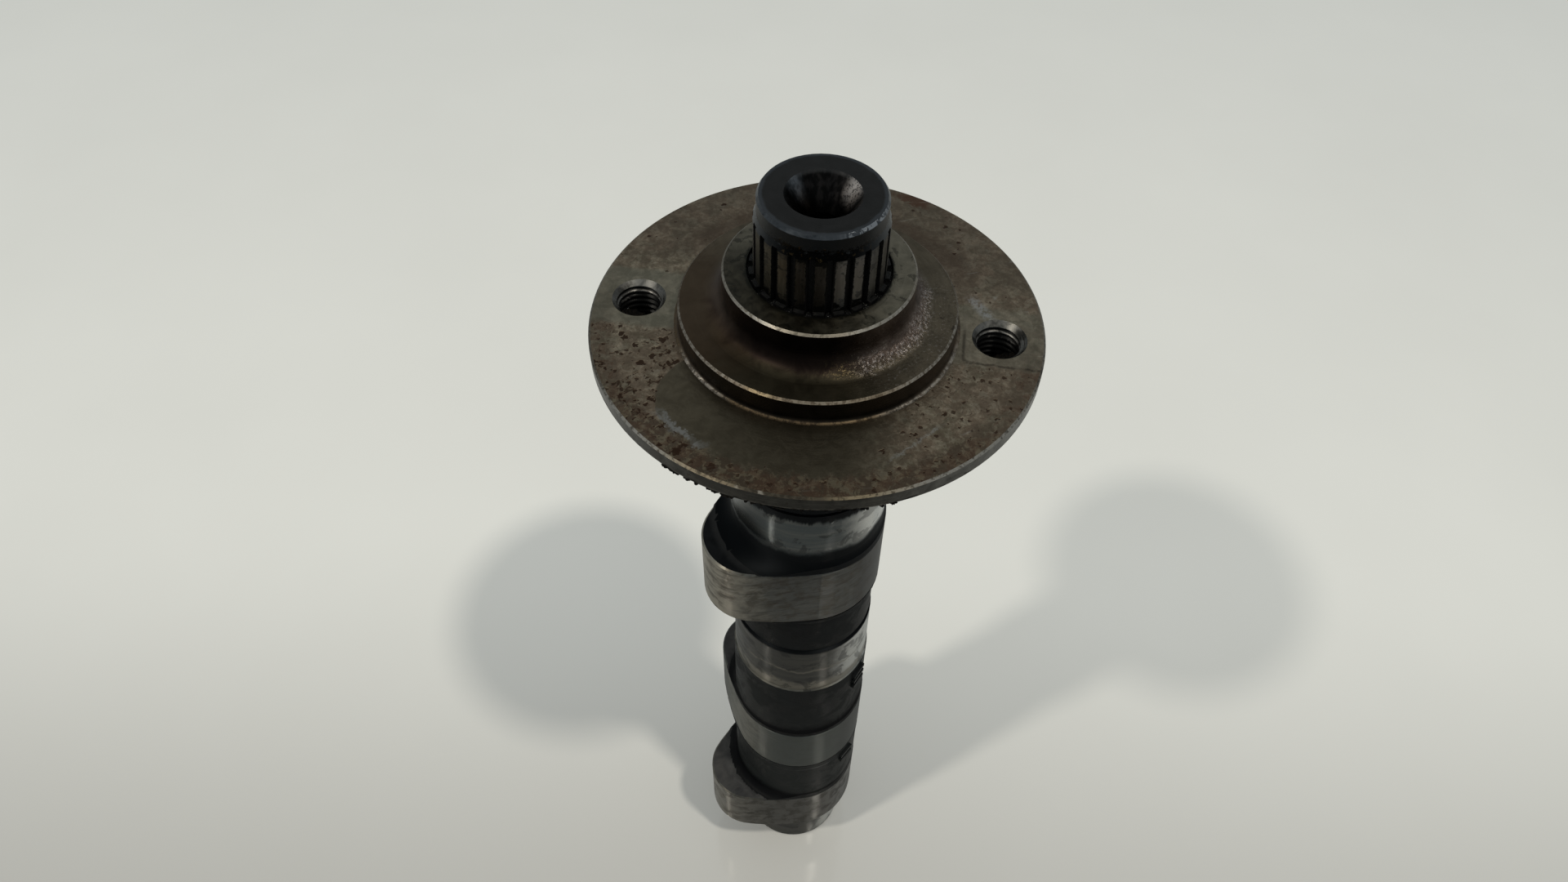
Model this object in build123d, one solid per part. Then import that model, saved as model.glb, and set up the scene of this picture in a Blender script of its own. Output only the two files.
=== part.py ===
from build123d import *
import math
import os

# A short cast-iron camshaft with three cam lobes and a splined nose, and the steel sprocket
# flange that is seated on that nose. Two pieces, one rigid body. Millimetres, +Z along the shaft
# toward the sprocket end. The origin is the centre of the tail face, and the two tapped holes of
# the flange lie on the X axis.

# ---- driving dimensions: the journals and the cast barrel ----
tail_journal_radius = 11.0
tail_journal_length = 13.9
middle_journal_radius = 12.85
middle_journal_length = 13.9
front_journal_radius = 13.0
front_journal_length = 15.3
seal_land_radius = 13.0
seal_land_length = 15.6
rear_barrel_radius = 13.3
rear_barrel_length = 16.4
middle_barrel_radius = 13.1
middle_barrel_length = 18.9
front_barrel_radius = 12.65
front_barrel_length = 12.1
journal_edge_break = 0.3
tail_chamfer = 0.8
relief_groove_width = 0.7
relief_groove_depth = 0.45

# ---- the cam lobes: one base circle and nose, with their own offsets and angles ----
lobe_width = 14.4
lobe_base_radius = 13.4
lobe_nose_radius = 8.7
lobe_flank_radius = 46.0
lobe_edge_break = 0.3
rear_lobe_offset = 11.3
rear_lobe_angle = -146.0
middle_lobe_offset = 10.7
middle_lobe_angle = 142.5
front_lobe_offset = 10.4
front_lobe_angle = -143.0
journal_flare = 3.0
barrel_flare = 2.2

# ---- the splined nose ----
spline_teeth = 22
spline_phase = 6.5
spline_root_radius = 8.2
spline_seat_radius = 9.6
spline_crest_radius = 9.0
spline_groove_root_width = 0.7
spline_groove_flank_angle = 13.0
spline_relief_radius = 8.0
spline_relief_length = 2.0
nose_radius = 8.6
nose_length = 2.7
nose_chamfer = 0.5
nose_chamfer_angle = 33.0
nose_flare_length = 1.0
spline_seat_lip = 0.1
spline_crest_length = 8.4
spline_runout = 0.7
rib_overlap = 0.2

# ---- lathe centres in both ends, and the blind hole behind the nose centre ----
centre_cone_angle = 60.0
drill_point_angle = 118.0
nose_centre_radius = 5.1
nose_hole_radius = 2.3
nose_hole_depth = 18.0
tail_centre_radius = 3.6
tail_hole_radius = 1.6
tail_hole_depth = 8.0

# ---- the sprocket flange ----
flange_radius = 32.0
flange_rim_thickness = 2.6
flange_plate_thickness = 8.0
flange_edge_break = 0.3
flange_back_land = 1.5
pilot_radius = 19.46
pilot_height = 3.6
pilot_chamfer = 0.3
pilot_root_fillet = 0.65
neck_radius = 13.25
neck_height = 5.9
neck_chamfer = 0.3
neck_cove_radius = 3.0
back_boss_radius = 15.5
back_boss_length = 5.4
back_boss_fillet = 2.0
spline_clearance = 0.05
recess_radius = 9.94
recess_depth = 2.4

# ---- the two tapped holes: M7, cut here at the thread's outer size, near mid-face ----
bolt_circle_inset = 0.13
bolt_count = 2
thread_diameter = 7.0
thread_mouth_radius = 3.85

# ---- raised foundry marks on the barrel: plain bars ----
mark_height = 0.55
mark_bar_width = 0.9
mark_bar_length = 3.6
mark_bar_pitch = 1.9
middle_mark_bars = 3
middle_mark_drop = 4.5
middle_mark_angle = -24.0
rear_mark_bars = 2
rear_mark_drop = 3.3
rear_mark_angle = -30.0

# ---- how far a cutting shape runs past the surface that it opens ----
cut_past = 1.0

# ---- places along the shaft, stacked up from the tail face ----
rear_lobe_z = tail_journal_length
rear_barrel_z = rear_lobe_z + lobe_width
middle_lobe_z = rear_barrel_z + rear_barrel_length
middle_barrel_z = middle_lobe_z + lobe_width
middle_journal_z = middle_barrel_z + middle_barrel_length
front_barrel_z = middle_journal_z + middle_journal_length
front_lobe_z = front_barrel_z + front_barrel_length
front_journal_z = front_lobe_z + lobe_width
groove_z = front_journal_z + front_journal_length
seal_land_z = groove_z + relief_groove_width
shoulder_z = seal_land_z + seal_land_length

# ---- places on the flange, stacked up from the shaft's shoulder ----
flange_back_z = shoulder_z + back_boss_length
flange_face_z = flange_back_z + flange_plate_thickness
pilot_top_z = flange_face_z + pilot_height
hub_top_z = pilot_top_z + neck_height
bolt_circle_radius = (pilot_radius + flange_radius) / 2 - bolt_circle_inset

# ---- places on the nose, stacked up from the top of the hub ----
spline_seat_top_z = hub_top_z + spline_seat_lip
spline_crest_top_z = spline_seat_top_z + spline_crest_length
spline_flare_top_z = spline_crest_top_z + nose_flare_length
nose_top_z = spline_flare_top_z + nose_length


def turned(points):
    """A solid of revolution about Z from the (radius, height) corners of its half section."""
    foot = [(0.0, points[0][1])] if points[0][0] > 0.0 else []
    corners = foot + points + [(0.0, points[-1][1])]
    with BuildPart() as turning:
        with BuildSketch(Plane.XZ):
            with BuildLine():
                Polyline(corners, close=True)
            make_face()
        revolve(axis=Axis.Z)
    return turning.part


def flared_foot(radius, flare, face_z, upward):
    """The concave collar where a round section of this radius grows out of a lobe's face."""
    way = 1.0 if upward else -1.0
    tip_z = face_z + way * flare
    with BuildPart() as collar:
        with BuildSketch(Plane.XZ):
            with BuildLine():
                Polyline((0.0, tip_z), (0.0, face_z), (radius + flare, face_z))
                RadiusArc((radius + flare, face_z), (radius, tip_z), way * flare)
                Line((radius, tip_z), (0.0, tip_z))
            make_face()
        revolve(axis=Axis.Z)
    return collar.part


def lobe_outline(nose_offset):
    """Base circle, nose circle and two convex flanks that are tangent to both, nose along +X."""
    to_base = lobe_flank_radius - lobe_base_radius
    to_nose = lobe_flank_radius - lobe_nose_radius
    centre_x = (to_base**2 - to_nose**2 + nose_offset**2) / (2 * nose_offset)
    centre_y = math.sqrt(to_base**2 - centre_x**2)
    base_x = -centre_x * lobe_base_radius / to_base
    base_y = centre_y * lobe_base_radius / to_base
    nose_x = nose_offset + (nose_offset - centre_x) * lobe_nose_radius / to_nose
    nose_y = centre_y * lobe_nose_radius / to_nose
    with BuildSketch() as outline:
        with BuildLine():
            ThreePointArc((base_x, -base_y), (-lobe_base_radius, 0.0), (base_x, base_y))
            RadiusArc((base_x, base_y), (nose_x, nose_y), lobe_flank_radius)
            ThreePointArc(
                (nose_x, nose_y),
                (nose_offset + lobe_nose_radius, 0.0),
                (nose_x, -nose_y),
            )
            RadiusArc((nose_x, -nose_y), (base_x, -base_y), lobe_flank_radius)
        make_face()
    return outline.sketch


def lobe(bottom_z, nose_offset, angle, lower, upper):
    """One lobe with its edges broken, and the flared feet of the sections below and above it."""
    body = extrude(lobe_outline(nose_offset), amount=lobe_width)
    rims = body.edges().group_by(Axis.Z)
    body = chamfer(rims[0] + rims[-1], length=lobe_edge_break)
    feet = []
    for radius, flare, face_z, upward in (
        (*lower, 0.0, False),
        (*upper, lobe_width, True),
    ):
        collar = flared_foot(radius, flare, face_z, upward)
        reach = extrude(lobe_outline(nose_offset), amount=flare if upward else -flare)
        feet.append(collar & (Pos(0.0, 0.0, face_z) * reach))
    return Pos(0.0, 0.0, bottom_z) * Rot(0.0, 0.0, angle) * (body + feet)


def centre_drilling(mouth_radius, hole_radius, hole_depth):
    """A lathe centre that opens upward at the origin: a cone, then a blind drilled hole."""
    cone_depth = (mouth_radius - hole_radius) / math.tan(math.radians(centre_cone_angle / 2))
    point_depth = hole_radius / math.tan(math.radians(drill_point_angle / 2))
    return turned(
        [
            (0.0, -hole_depth - point_depth),
            (hole_radius, -hole_depth),
            (hole_radius, -cone_depth),
            (mouth_radius, 0.0),
            (mouth_radius, cut_past),
        ]
    )


def spline_gap(inner_radius, outer_radius, slack):
    """The section of one spline groove, symmetric about +X. Slack narrows it on each flank."""
    rise = outer_radius - inner_radius
    inner_half = spline_groove_root_width / 2 - slack
    inner_half += (inner_radius - spline_root_radius) * math.tan(math.radians(spline_groove_flank_angle))
    outer_half = inner_half + rise * math.tan(math.radians(spline_groove_flank_angle))
    return Polygon(
        (inner_radius, -inner_half),
        (outer_radius, -outer_half),
        (outer_radius, outer_half),
        (inner_radius, inner_half),
        align=None,
    )


def spline_angles():
    """The angle of each spline groove about the shaft."""
    return [spline_phase + 360.0 * n / spline_teeth for n in range(spline_teeth)]


def spline_grooves():
    """All the grooves, each with the sloping run-out that a hob leaves at its upper end."""
    bottom_z = shoulder_z + spline_relief_length / 2
    far_radius = spline_seat_radius + cut_past
    near_radius = spline_root_radius - cut_past
    top_z = spline_crest_top_z - spline_runout / 2
    groove = Pos(0.0, 0.0, bottom_z) * extrude(
        spline_gap(spline_root_radius, far_radius, 0.0), amount=top_z + far_radius - bottom_z
    )
    slope = spline_runout / (spline_crest_radius - spline_root_radius)
    side = Plane.XZ * Polygon(
        (near_radius, bottom_z),
        (far_radius, bottom_z),
        (far_radius, top_z + (far_radius - spline_root_radius) * slope),
        (spline_root_radius, top_z),
        (near_radius, top_z),
        align=None,
    )
    cutter = groove & extrude(side, amount=far_radius, both=True)
    return [Rot(0.0, 0.0, angle) * cutter for angle in spline_angles()]


def foundry_mark(barrel_radius, centre_z, angle, bars):
    """Short raised bars, cast on the barrel one above the other."""
    pads = []
    for n in range(bars):
        offset = (n - (bars - 1) / 2) * mark_bar_pitch
        pad = Box(mark_height * 2, mark_bar_length, mark_bar_width)
        pads.append(Rot(0.0, 0.0, angle) * Pos(barrel_radius, 0.0, centre_z + offset) * pad)
    return pads


def camshaft():
    """The whole shaft, one iron casting with its ground and machined surfaces."""
    groove_radius = front_journal_radius - relief_groove_depth
    step_radius = middle_journal_radius - relief_groove_depth
    body = turned(
        [
            (tail_journal_radius - tail_chamfer, 0.0),
            (tail_journal_radius, tail_chamfer),
            (tail_journal_radius, rear_lobe_z + lobe_width / 2),
            (rear_barrel_radius, rear_lobe_z + lobe_width / 2),
            (rear_barrel_radius, middle_lobe_z + lobe_width / 2),
            (middle_barrel_radius, middle_lobe_z + lobe_width / 2),
            (middle_barrel_radius, middle_journal_z - journal_edge_break),
            (middle_journal_radius, middle_journal_z),
            (middle_journal_radius, front_barrel_z - journal_edge_break),
            (step_radius, front_barrel_z),
            (step_radius, front_barrel_z + relief_groove_width),
            (front_barrel_radius, front_barrel_z + relief_groove_width),
            (front_barrel_radius, front_lobe_z + lobe_width / 2),
            (front_journal_radius, front_lobe_z + lobe_width / 2),
            (front_journal_radius, groove_z),
            (groove_radius, groove_z),
            (groove_radius, seal_land_z),
            (seal_land_radius, seal_land_z),
            (seal_land_radius, shoulder_z - journal_edge_break),
            (seal_land_radius - journal_edge_break, shoulder_z),
            (spline_relief_radius, shoulder_z),
            (spline_relief_radius, shoulder_z + spline_relief_length),
            (spline_seat_radius, shoulder_z + spline_relief_length),
            (spline_seat_radius, spline_seat_top_z),
            (spline_crest_radius, spline_seat_top_z),
            (spline_crest_radius, spline_crest_top_z),
            (nose_radius, spline_flare_top_z),
            (nose_radius, nose_top_z - nose_chamfer),
            (nose_radius - nose_chamfer * math.tan(math.radians(nose_chamfer_angle)), nose_top_z),
        ]
    )
    tail = (tail_journal_radius, barrel_flare)
    rear = (rear_barrel_radius, barrel_flare)
    middle = (middle_barrel_radius, barrel_flare)
    front = (front_barrel_radius, barrel_flare)
    journal = (front_journal_radius, journal_flare)
    body += lobe(rear_lobe_z, rear_lobe_offset, rear_lobe_angle, tail, rear)
    body += lobe(middle_lobe_z, middle_lobe_offset, middle_lobe_angle, rear, middle)
    body += lobe(front_lobe_z, front_lobe_offset, front_lobe_angle, front, journal)
    middle_mark_z = middle_journal_z - middle_mark_drop
    rear_mark_z = middle_lobe_z - rear_mark_drop
    body += foundry_mark(middle_barrel_radius, middle_mark_z, middle_mark_angle, middle_mark_bars)
    body += foundry_mark(rear_barrel_radius, rear_mark_z, rear_mark_angle, rear_mark_bars)
    body -= spline_grooves()
    nose_centre = centre_drilling(nose_centre_radius, nose_hole_radius, nose_hole_depth)
    tail_centre = centre_drilling(tail_centre_radius, tail_hole_radius, tail_hole_depth)
    body -= Pos(0.0, 0.0, nose_top_z) * nose_centre
    body -= Rot(180.0, 0.0, 0.0) * tail_centre
    return body


def sprocket_flange():
    """The flange: back boss, thin-rimmed plate, pilot, coved neck, inner spline, two threads."""
    bore_radius = spline_seat_radius + spline_clearance
    back_cone = flange_plate_thickness - flange_rim_thickness
    land_radius = flange_radius - flange_back_land
    rim_back_z = flange_back_z + back_cone
    with BuildPart() as flange:
        with BuildSketch(Plane.XZ):
            with BuildLine():
                Polyline(
                    (bore_radius, shoulder_z),
                    (back_boss_radius - neck_chamfer, shoulder_z),
                    (back_boss_radius, shoulder_z + neck_chamfer),
                    (back_boss_radius, flange_back_z - back_boss_fillet),
                )
                RadiusArc(
                    (back_boss_radius, flange_back_z - back_boss_fillet),
                    (back_boss_radius + back_boss_fillet, flange_back_z),
                    back_boss_fillet,
                )
                Polyline(
                    (back_boss_radius + back_boss_fillet, flange_back_z),
                    (land_radius - back_cone, flange_back_z),
                    (land_radius, rim_back_z),
                    (flange_radius - flange_edge_break, rim_back_z),
                    (flange_radius, rim_back_z + flange_edge_break),
                    (flange_radius, flange_face_z - flange_edge_break),
                    (flange_radius - flange_edge_break, flange_face_z),
                    (pilot_radius + pilot_root_fillet, flange_face_z),
                )
                RadiusArc(
                    (pilot_radius + pilot_root_fillet, flange_face_z),
                    (pilot_radius, flange_face_z + pilot_root_fillet),
                    pilot_root_fillet,
                )
                Polyline(
                    (pilot_radius, flange_face_z + pilot_root_fillet),
                    (pilot_radius, pilot_top_z - pilot_chamfer),
                    (pilot_radius - pilot_chamfer, pilot_top_z),
                    (neck_radius + neck_cove_radius, pilot_top_z),
                )
                RadiusArc(
                    (neck_radius + neck_cove_radius, pilot_top_z),
                    (neck_radius, pilot_top_z + neck_cove_radius),
                    neck_cove_radius,
                )
                Polyline(
                    (neck_radius, pilot_top_z + neck_cove_radius),
                    (neck_radius, hub_top_z - neck_chamfer),
                    (neck_radius - neck_chamfer, hub_top_z),
                    (recess_radius, hub_top_z),
                    (recess_radius, hub_top_z - recess_depth),
                    (bore_radius, hub_top_z - recess_depth),
                    (bore_radius, shoulder_z),
                )
            make_face()
        revolve(axis=Axis.Z)
    body = flange.part
    rib_root = bore_radius + rib_overlap
    rib_bottom_z = shoulder_z + journal_edge_break
    rib = Pos(0.0, 0.0, rib_bottom_z) * extrude(
        spline_gap(spline_root_radius + spline_clearance, rib_root, spline_clearance),
        amount=hub_top_z - recess_depth - rib_bottom_z,
    )
    body += [Rot(0.0, 0.0, angle) * rib for angle in spline_angles()]
    drill = turned(
        [
            (thread_diameter / 2, flange_back_z - cut_past),
            (thread_diameter / 2, flange_face_z - (thread_mouth_radius - thread_diameter / 2)),
            (thread_mouth_radius, flange_face_z),
            (thread_mouth_radius, flange_face_z + cut_past),
        ]
    )
    for n in range(bolt_count):
        turn = Rot(0.0, 0.0, 360.0 * n / bolt_count)
        body -= turn * Pos(bolt_circle_radius, 0.0, 0.0) * drill
    return body


os.makedirs("parts", exist_ok=True)
for name, piece in (("camshaft", camshaft()), ("sprocket_flange", sprocket_flange())):
    piece.label = name
    export_step(piece, f"parts/{name}.step")
    box = piece.bounding_box().size
    print(name, "solids", len(piece.solids()), "volume", round(piece.volume), "size", box)
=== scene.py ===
# %% [markdown]
# # A camshaft standing on its tail
#
# The shape of this part is already fixed: two solids, the iron shaft and the steel sprocket flange.
# Blender adds what a solid model can't say: how each surface was made and what years of running
# have done to it. The lesson goes from the camera to the shared shader effects, then to one finish
# after another, and last to the small things that are modelled as meshes here, such as the two
# threads, the grease round the spline and the grime under the rim, and to the floor and the light.

# %% Libraries and the fixed frame
import math

import bpy
import numpy as np
from mathutils import Matrix, Vector


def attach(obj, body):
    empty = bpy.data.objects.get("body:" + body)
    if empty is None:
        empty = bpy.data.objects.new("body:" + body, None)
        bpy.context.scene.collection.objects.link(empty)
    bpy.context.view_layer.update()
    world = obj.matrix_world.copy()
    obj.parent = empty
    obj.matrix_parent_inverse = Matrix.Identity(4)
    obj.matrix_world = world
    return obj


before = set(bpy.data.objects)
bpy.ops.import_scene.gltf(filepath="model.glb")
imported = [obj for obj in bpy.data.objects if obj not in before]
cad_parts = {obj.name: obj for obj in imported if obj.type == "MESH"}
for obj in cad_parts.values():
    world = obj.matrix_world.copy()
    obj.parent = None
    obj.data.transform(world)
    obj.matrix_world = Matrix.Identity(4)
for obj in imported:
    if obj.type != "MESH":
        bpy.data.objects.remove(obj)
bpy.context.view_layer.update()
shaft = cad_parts["camshaft"]
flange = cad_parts["sprocket_flange"]
MM = 0.001
print("nodes", {name: len(node.data.polygons) for name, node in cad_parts.items()})

# %% [markdown]
# The finishes need to know where one surface ends and the next begins. That could be measured on
# the meshes each time, but written down once, in millimetres, the numbers can be read and named.
# Z runs up the shaft from the tail face.

# %% Heights and radii of the surfaces, in millimetres
TAIL_JOURNAL_TOP = 13.9
LOBE_WIDTH = 14.4
LOBES = {"rear": 13.9, "middle": 44.7, "front": 104.0}
MIDDLE_JOURNAL = (78.0, 91.9)
FRONT_JOURNAL = (118.4, 133.7)
SEAL_LAND = (134.4, 150.0)
FLANGE_BACK, RIM_BACK, FLANGE_FACE = 155.4, 160.8, 163.4
PILOT_TOP, HUB_TOP = 167.0, 172.9
SPLINE_SEAT_TOP, SPLINE_CREST_TOP, NOSE_TOP = 173.0, 181.4, 185.1
BARREL_RADIUS, PILOT_RADIUS, FLANGE_RADIUS, BACK_CONE_START = 13.3, 19.46, 32.0, 25.1
NOSE_RADIUS, CENTRE_RADIUS, RECESS_RADIUS, CREST_RADIUS = 8.6, 5.0, 9.94, 9.0
EDGE_BREAK, NOSE_CHAMFER = 0.3, 0.5
SPLINE_TEETH, SPLINE_PHASE = 22, 6.5
BOLT_RADIUS, THREAD_MAJOR, THREAD_MINOR, THREAD_MOUTH, THREAD_PITCH = 25.6, 3.5, 3.0, 3.85, 1.0
print("the flange face is", round(NOSE_TOP - FLANGE_FACE, 2), "mm under the nose")

# %% [markdown]
# ## Camera
#
# The part is seen from above and in front. The camera looks down by about fifty degrees, and it has
# a wide lens and stands close: the round flange turns into a broad ellipse and the tail looks much
# smaller than the nose. A Track To constraint could aim the camera, but not roll it, so its axes are
# worked out from its turn, its tilt and a small roll.

# %% Camera
CAMERA_AT = Vector((11.13, -116.47, 275.32)) * MM
CAMERA_TURN, CAMERA_TILT, CAMERA_ROLL = -0.13143, 0.87148, 0.02411
SENSOR_WIDTH, FOCAL_LENGTH = 36.0, 26.25


def camera_matrix(place, turn, tilt, roll):
    """The camera's pose from where it stands and how it is turned, tilted down and rolled."""
    level = Vector((math.cos(turn), -math.sin(turn), 0.0))
    ahead = Vector((math.sin(turn) * math.cos(tilt), math.cos(turn) * math.cos(tilt), -math.sin(tilt)))
    above = level.cross(ahead)
    right = math.cos(roll) * level + math.sin(roll) * above
    up = math.cos(roll) * above - math.sin(roll) * level
    return Matrix.Translation(place) @ Matrix((right, up, -ahead)).transposed().to_4x4()


lens = bpy.data.cameras.new("camera")
lens.sensor_width = SENSOR_WIDTH
lens.lens = FOCAL_LENGTH
lens.clip_start = 0.01
camera = bpy.data.objects.new("camera", lens)
camera.matrix_world = camera_matrix(CAMERA_AT, CAMERA_TURN, CAMERA_TILT, CAMERA_ROLL)
bpy.context.scene.collection.objects.link(camera)
bpy.context.scene.camera = camera
print("camera at", [round(v, 4) for v in camera.location])

# %% [markdown]
# ## Node helpers
#
# Shader nodes are wired by hand in the editor. In a script the same wiring gets long, so two small
# classes keep it readable. A Signal is an output socket to reckon with: a * b adds a Multiply node
# and gives back its result. Nodes adds the other nodes, and takes a number, a colour or a signal.

# %% Signals
class Signal:
    """The output of a node. Reckoning with it adds Math nodes."""

    def __init__(self, nodes, socket):
        self.nodes = nodes
        self.socket = socket

    def __mul__(self, other):
        return self.nodes.math("MULTIPLY", self, other)

    def __add__(self, other):
        return self.nodes.math("ADD", self, other)

    def __sub__(self, other):
        return self.nodes.math("SUBTRACT", self, other)

    def __rsub__(self, other):
        return self.nodes.math("SUBTRACT", other, self)

    def __truediv__(self, other):
        return self.nodes.math("DIVIDE", self, other)

    def __rtruediv__(self, other):
        return self.nodes.math("DIVIDE", other, self)

    def also(self, output):
        """Another output of the same node."""
        return Signal(self.nodes, self.socket.node.outputs[output])


print("signals ready")

# %% [markdown]
# The second class holds one tree of nodes and adds to it. Each method is named for what it does to
# a mask or a colour, so a line of the script says what a small cluster of nodes would show.

# %% Node helpers
class Nodes:
    """Adds nodes to one tree. Every method gives back a signal."""

    def __init__(self, tree):
        self.tree = tree

    def set(self, socket, value):
        """Links a signal to a socket, or gives the socket a number, a colour or a vector."""
        if isinstance(value, Signal):
            self.tree.links.new(value.socket, socket)
        else:
            socket.default_value = (*value, 1.0) if socket.type == "RGBA" else value

    def add(self, kind, output=0, inputs=None, **settings):
        made = self.tree.nodes.new(kind)
        for key, value in settings.items():
            setattr(made, key, value)
        for key, value in (inputs or {}).items():
            self.set(made.inputs[key], value)
        return Signal(self, made.outputs[output])

    def math(self, operation, *values):
        return self.add("ShaderNodeMath", 0, dict(enumerate(values)), operation=operation)

    def most(self, first, *others):
        """The largest of several values."""
        for other in others:
            first = self.math("MAXIMUM", first, other)
        return first

    def size(self, value):
        return self.math("ABSOLUTE", value)

    def ramp(self, value, low, high, to_low=0.0, to_high=1.0):
        """A smooth step of a value from low to high."""
        inputs = {"Value": value, "From Min": low, "From Max": high, "To Min": to_low, "To Max": to_high}
        return self.add("ShaderNodeMapRange", 0, inputs, interpolation_type="SMOOTHSTEP")

    def fade(self, value, low, high):
        return self.ramp(value, low, high, 1.0, 0.0)

    def mix(self, factor, a, b):
        """Two colours, mixed."""
        return self.add("ShaderNodeMix", 2, {0: factor, 6: a, 7: b}, data_type="RGBA")

    def blend(self, factor, a, b):
        """Two numbers, mixed."""
        return self.add("ShaderNodeMix", 0, {0: factor, 2: a, 3: b})

    def vector(self, x, y, z):
        return self.add("ShaderNodeCombineXYZ", 0, {0: x, 1: y, 2: z})

    def vectors(self, operation, a, b):
        return self.add("ShaderNodeVectorMath", 0, {0: a, 1: b}, operation=operation)

    def noise(self, place, scale, detail=3.0, roughness=0.55, distortion=0.0):
        inputs = {"Vector": place, "Scale": scale, "Detail": detail}
        inputs.update({"Roughness": roughness, "Distortion": distortion})
        return self.add("ShaderNodeTexNoise", 0, inputs)

    def drawn_noise(self, stretch, detail, roughness=0.55):
        """A noise that is drawn out along the axes in which the stretch is small."""
        return self.noise(self.vectors("MULTIPLY", self.point, stretch), 1.0, detail, roughness)

    def use(self, effect, *values):
        """Places an effect. The values go to its inputs in their order."""
        made = self.tree.nodes.new("ShaderNodeGroup")
        made.node_tree = effect.tree
        for socket, value in zip(made.inputs, values):
            self.set(socket, value)
        return Signal(self, made.outputs[0])

    def stand_on_part(self):
        """Keeps the turned coordinates as radius, height, angle, across, behind and point."""
        place = self.use(turned_place)
        for output in place.socket.node.outputs:
            setattr(self, output.name.lower(), Signal(self, output))


print("node helpers ready")

# %% [markdown]
# An effect that several finishes need is a node group with named inputs, so it is built once and
# placed in each of them with its own values. All the inputs are numbers with a default. In the
# cells that follow, n stands for the effect that is being made.

# %% Helper: an effect
class Effect(Nodes):
    """A node group. Its inputs are in given, in their order, and give() sets its output."""

    def __init__(self, name, inputs, outputs=("Mask",)):
        super().__init__(bpy.data.node_groups.new(name, "ShaderNodeTree"))
        new_socket = self.tree.interface.new_socket
        for label, default in inputs.items():
            new_socket(label, in_out="INPUT", socket_type="NodeSocketFloat").default_value = default
        for label in outputs:
            kind = "NodeSocketVector" if label == "Point" else "NodeSocketFloat"
            new_socket(label, in_out="OUTPUT", socket_type=kind)
        sockets = self.tree.nodes.new("NodeGroupInput").outputs
        self.given = [Signal(self, sockets[label]) for label in inputs]
        self.gives = self.tree.nodes.new("NodeGroupOutput").inputs
        if inputs:
            self.stand_on_part()

    def give(self, value, output=0):
        self.set(self.gives[output], value)
        print("effect", self.tree.name, "gives", self.gives[output].name)


print("effect helper ready")

# %% [markdown]
# ## Shared effects
#
# A turned part is best described by distance from the axis, height and angle, because the tool, the
# bearing and the wear all go round it. The first group turns the plain object coordinates into
# those three, in millimetres and radians. It also gives the point itself, for textures that don't
# go round, and two distances from the axis: across, which grows to the right, and behind, which
# is negative in front. It is the only effect without inputs, since the others stand on it.

# %% Effect: position on a turned part
n = turned_place = Effect("Turned place", {}, ("Radius", "Height", "Angle", "Across", "Behind", "Point"))
metres = n.add("ShaderNodeSeparateXYZ", 0, {0: n.add("ShaderNodeTexCoord", "Object")})
x_mm, y_mm, z_mm = (metres.also(axis) * (1.0 / MM) for axis in range(3))
n.give(n.math("SQRT", x_mm * x_mm + y_mm * y_mm), "Radius")
n.give(z_mm, "Height")
n.give(n.math("ARCTAN2", y_mm, x_mm), "Angle")
n.give(x_mm, "Across")
n.give(y_mm, "Behind")
n.give(n.vector(x_mm, y_mm, z_mm), "Point")

# %% [markdown]
# A band is one between two limits and fades softly to zero across each of them. It marks a stretch
# of a journal or a ring on the flange. A Color Ramp does the same by hand, but its stops can't be
# sockets, and here the limits are.

# %% Effect: band
n = band = Effect("Band", {"Value": 0.0, "Low": 0.0, "High": 1.0, "Soft": 0.1})
value, low, high, soft = n.given
n.give(n.ramp(value, low - soft, low + soft) - n.ramp(value, high - soft, high + soft))

# %% [markdown]
# A lathe or a grinding wheel leaves fine lines that run round the part. A Wave texture in rings
# would be too regular, so they are noise that is squeezed hard along the radius and the height and
# drawn out along the angle. The direction from the axis goes in as its cosine and sine, so the
# lines close round the part without a seam.

# %% Effect: lathe lines
n = lathe_lines = Effect("Lathe lines", {"Per mm": 6.0, "Length": 4.0})
HEIGHT_SHARE = 1.37
per_mm, length = n.given
level = n.height * HEIGHT_SHARE + n.radius
place = n.vector(n.across / n.radius * length, n.behind / n.radius * length, level * per_mm)
n.give(n.noise(place, 1.0, 3.0, 0.6))

# %% [markdown]
# Rust starts in freckles: small, sharp-edged spots, each one by itself. A noise with a hard limit
# gives islands of every size instead. A Voronoi texture gives every cell one point and one random
# colour. The colour decides whether the cell has a spot and how large it is, and a noise that
# shifts the place makes the outline ragged. With Flat at one the height is left out, so that a
# level face always shows the same spots; an upright wall needs the height, and has Flat at zero.

# %% Effect: rust freckles
n = freckles = Effect("Rust freckles", {"Size mm": 0.6, "Amount": 0.5, "Shift": 0.0, "Flat": 1.0})
spot_size, amount, shift, flat = n.given
place = n.vector(n.across + shift, n.behind, n.height * (1.0 - flat))
wobble = n.add("ShaderNodeTexNoise", "Color", {"Vector": place, "Scale": 1.3 / spot_size, "Detail": 3.0})
wobble = n.vectors("SUBTRACT", wobble, (0.5, 0.5, 0.5))
wobble = n.add("ShaderNodeVectorMath", 0, {0: wobble, "Scale": spot_size * 1.5}, operation="SCALE")
cell = spot_size * 1.9
inputs = {"Vector": n.vectors("ADD", place, wobble), "Scale": 1.0 / cell}
cell_colour = n.add("ShaderNodeTexVoronoi", "Color", inputs)
chance = n.add("ShaderNodeSeparateColor", 0, {0: cell_colour})
reach = (chance.also(1) * 0.42 + 0.22) * spot_size
away = cell_colour.also("Distance") * cell - reach
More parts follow.
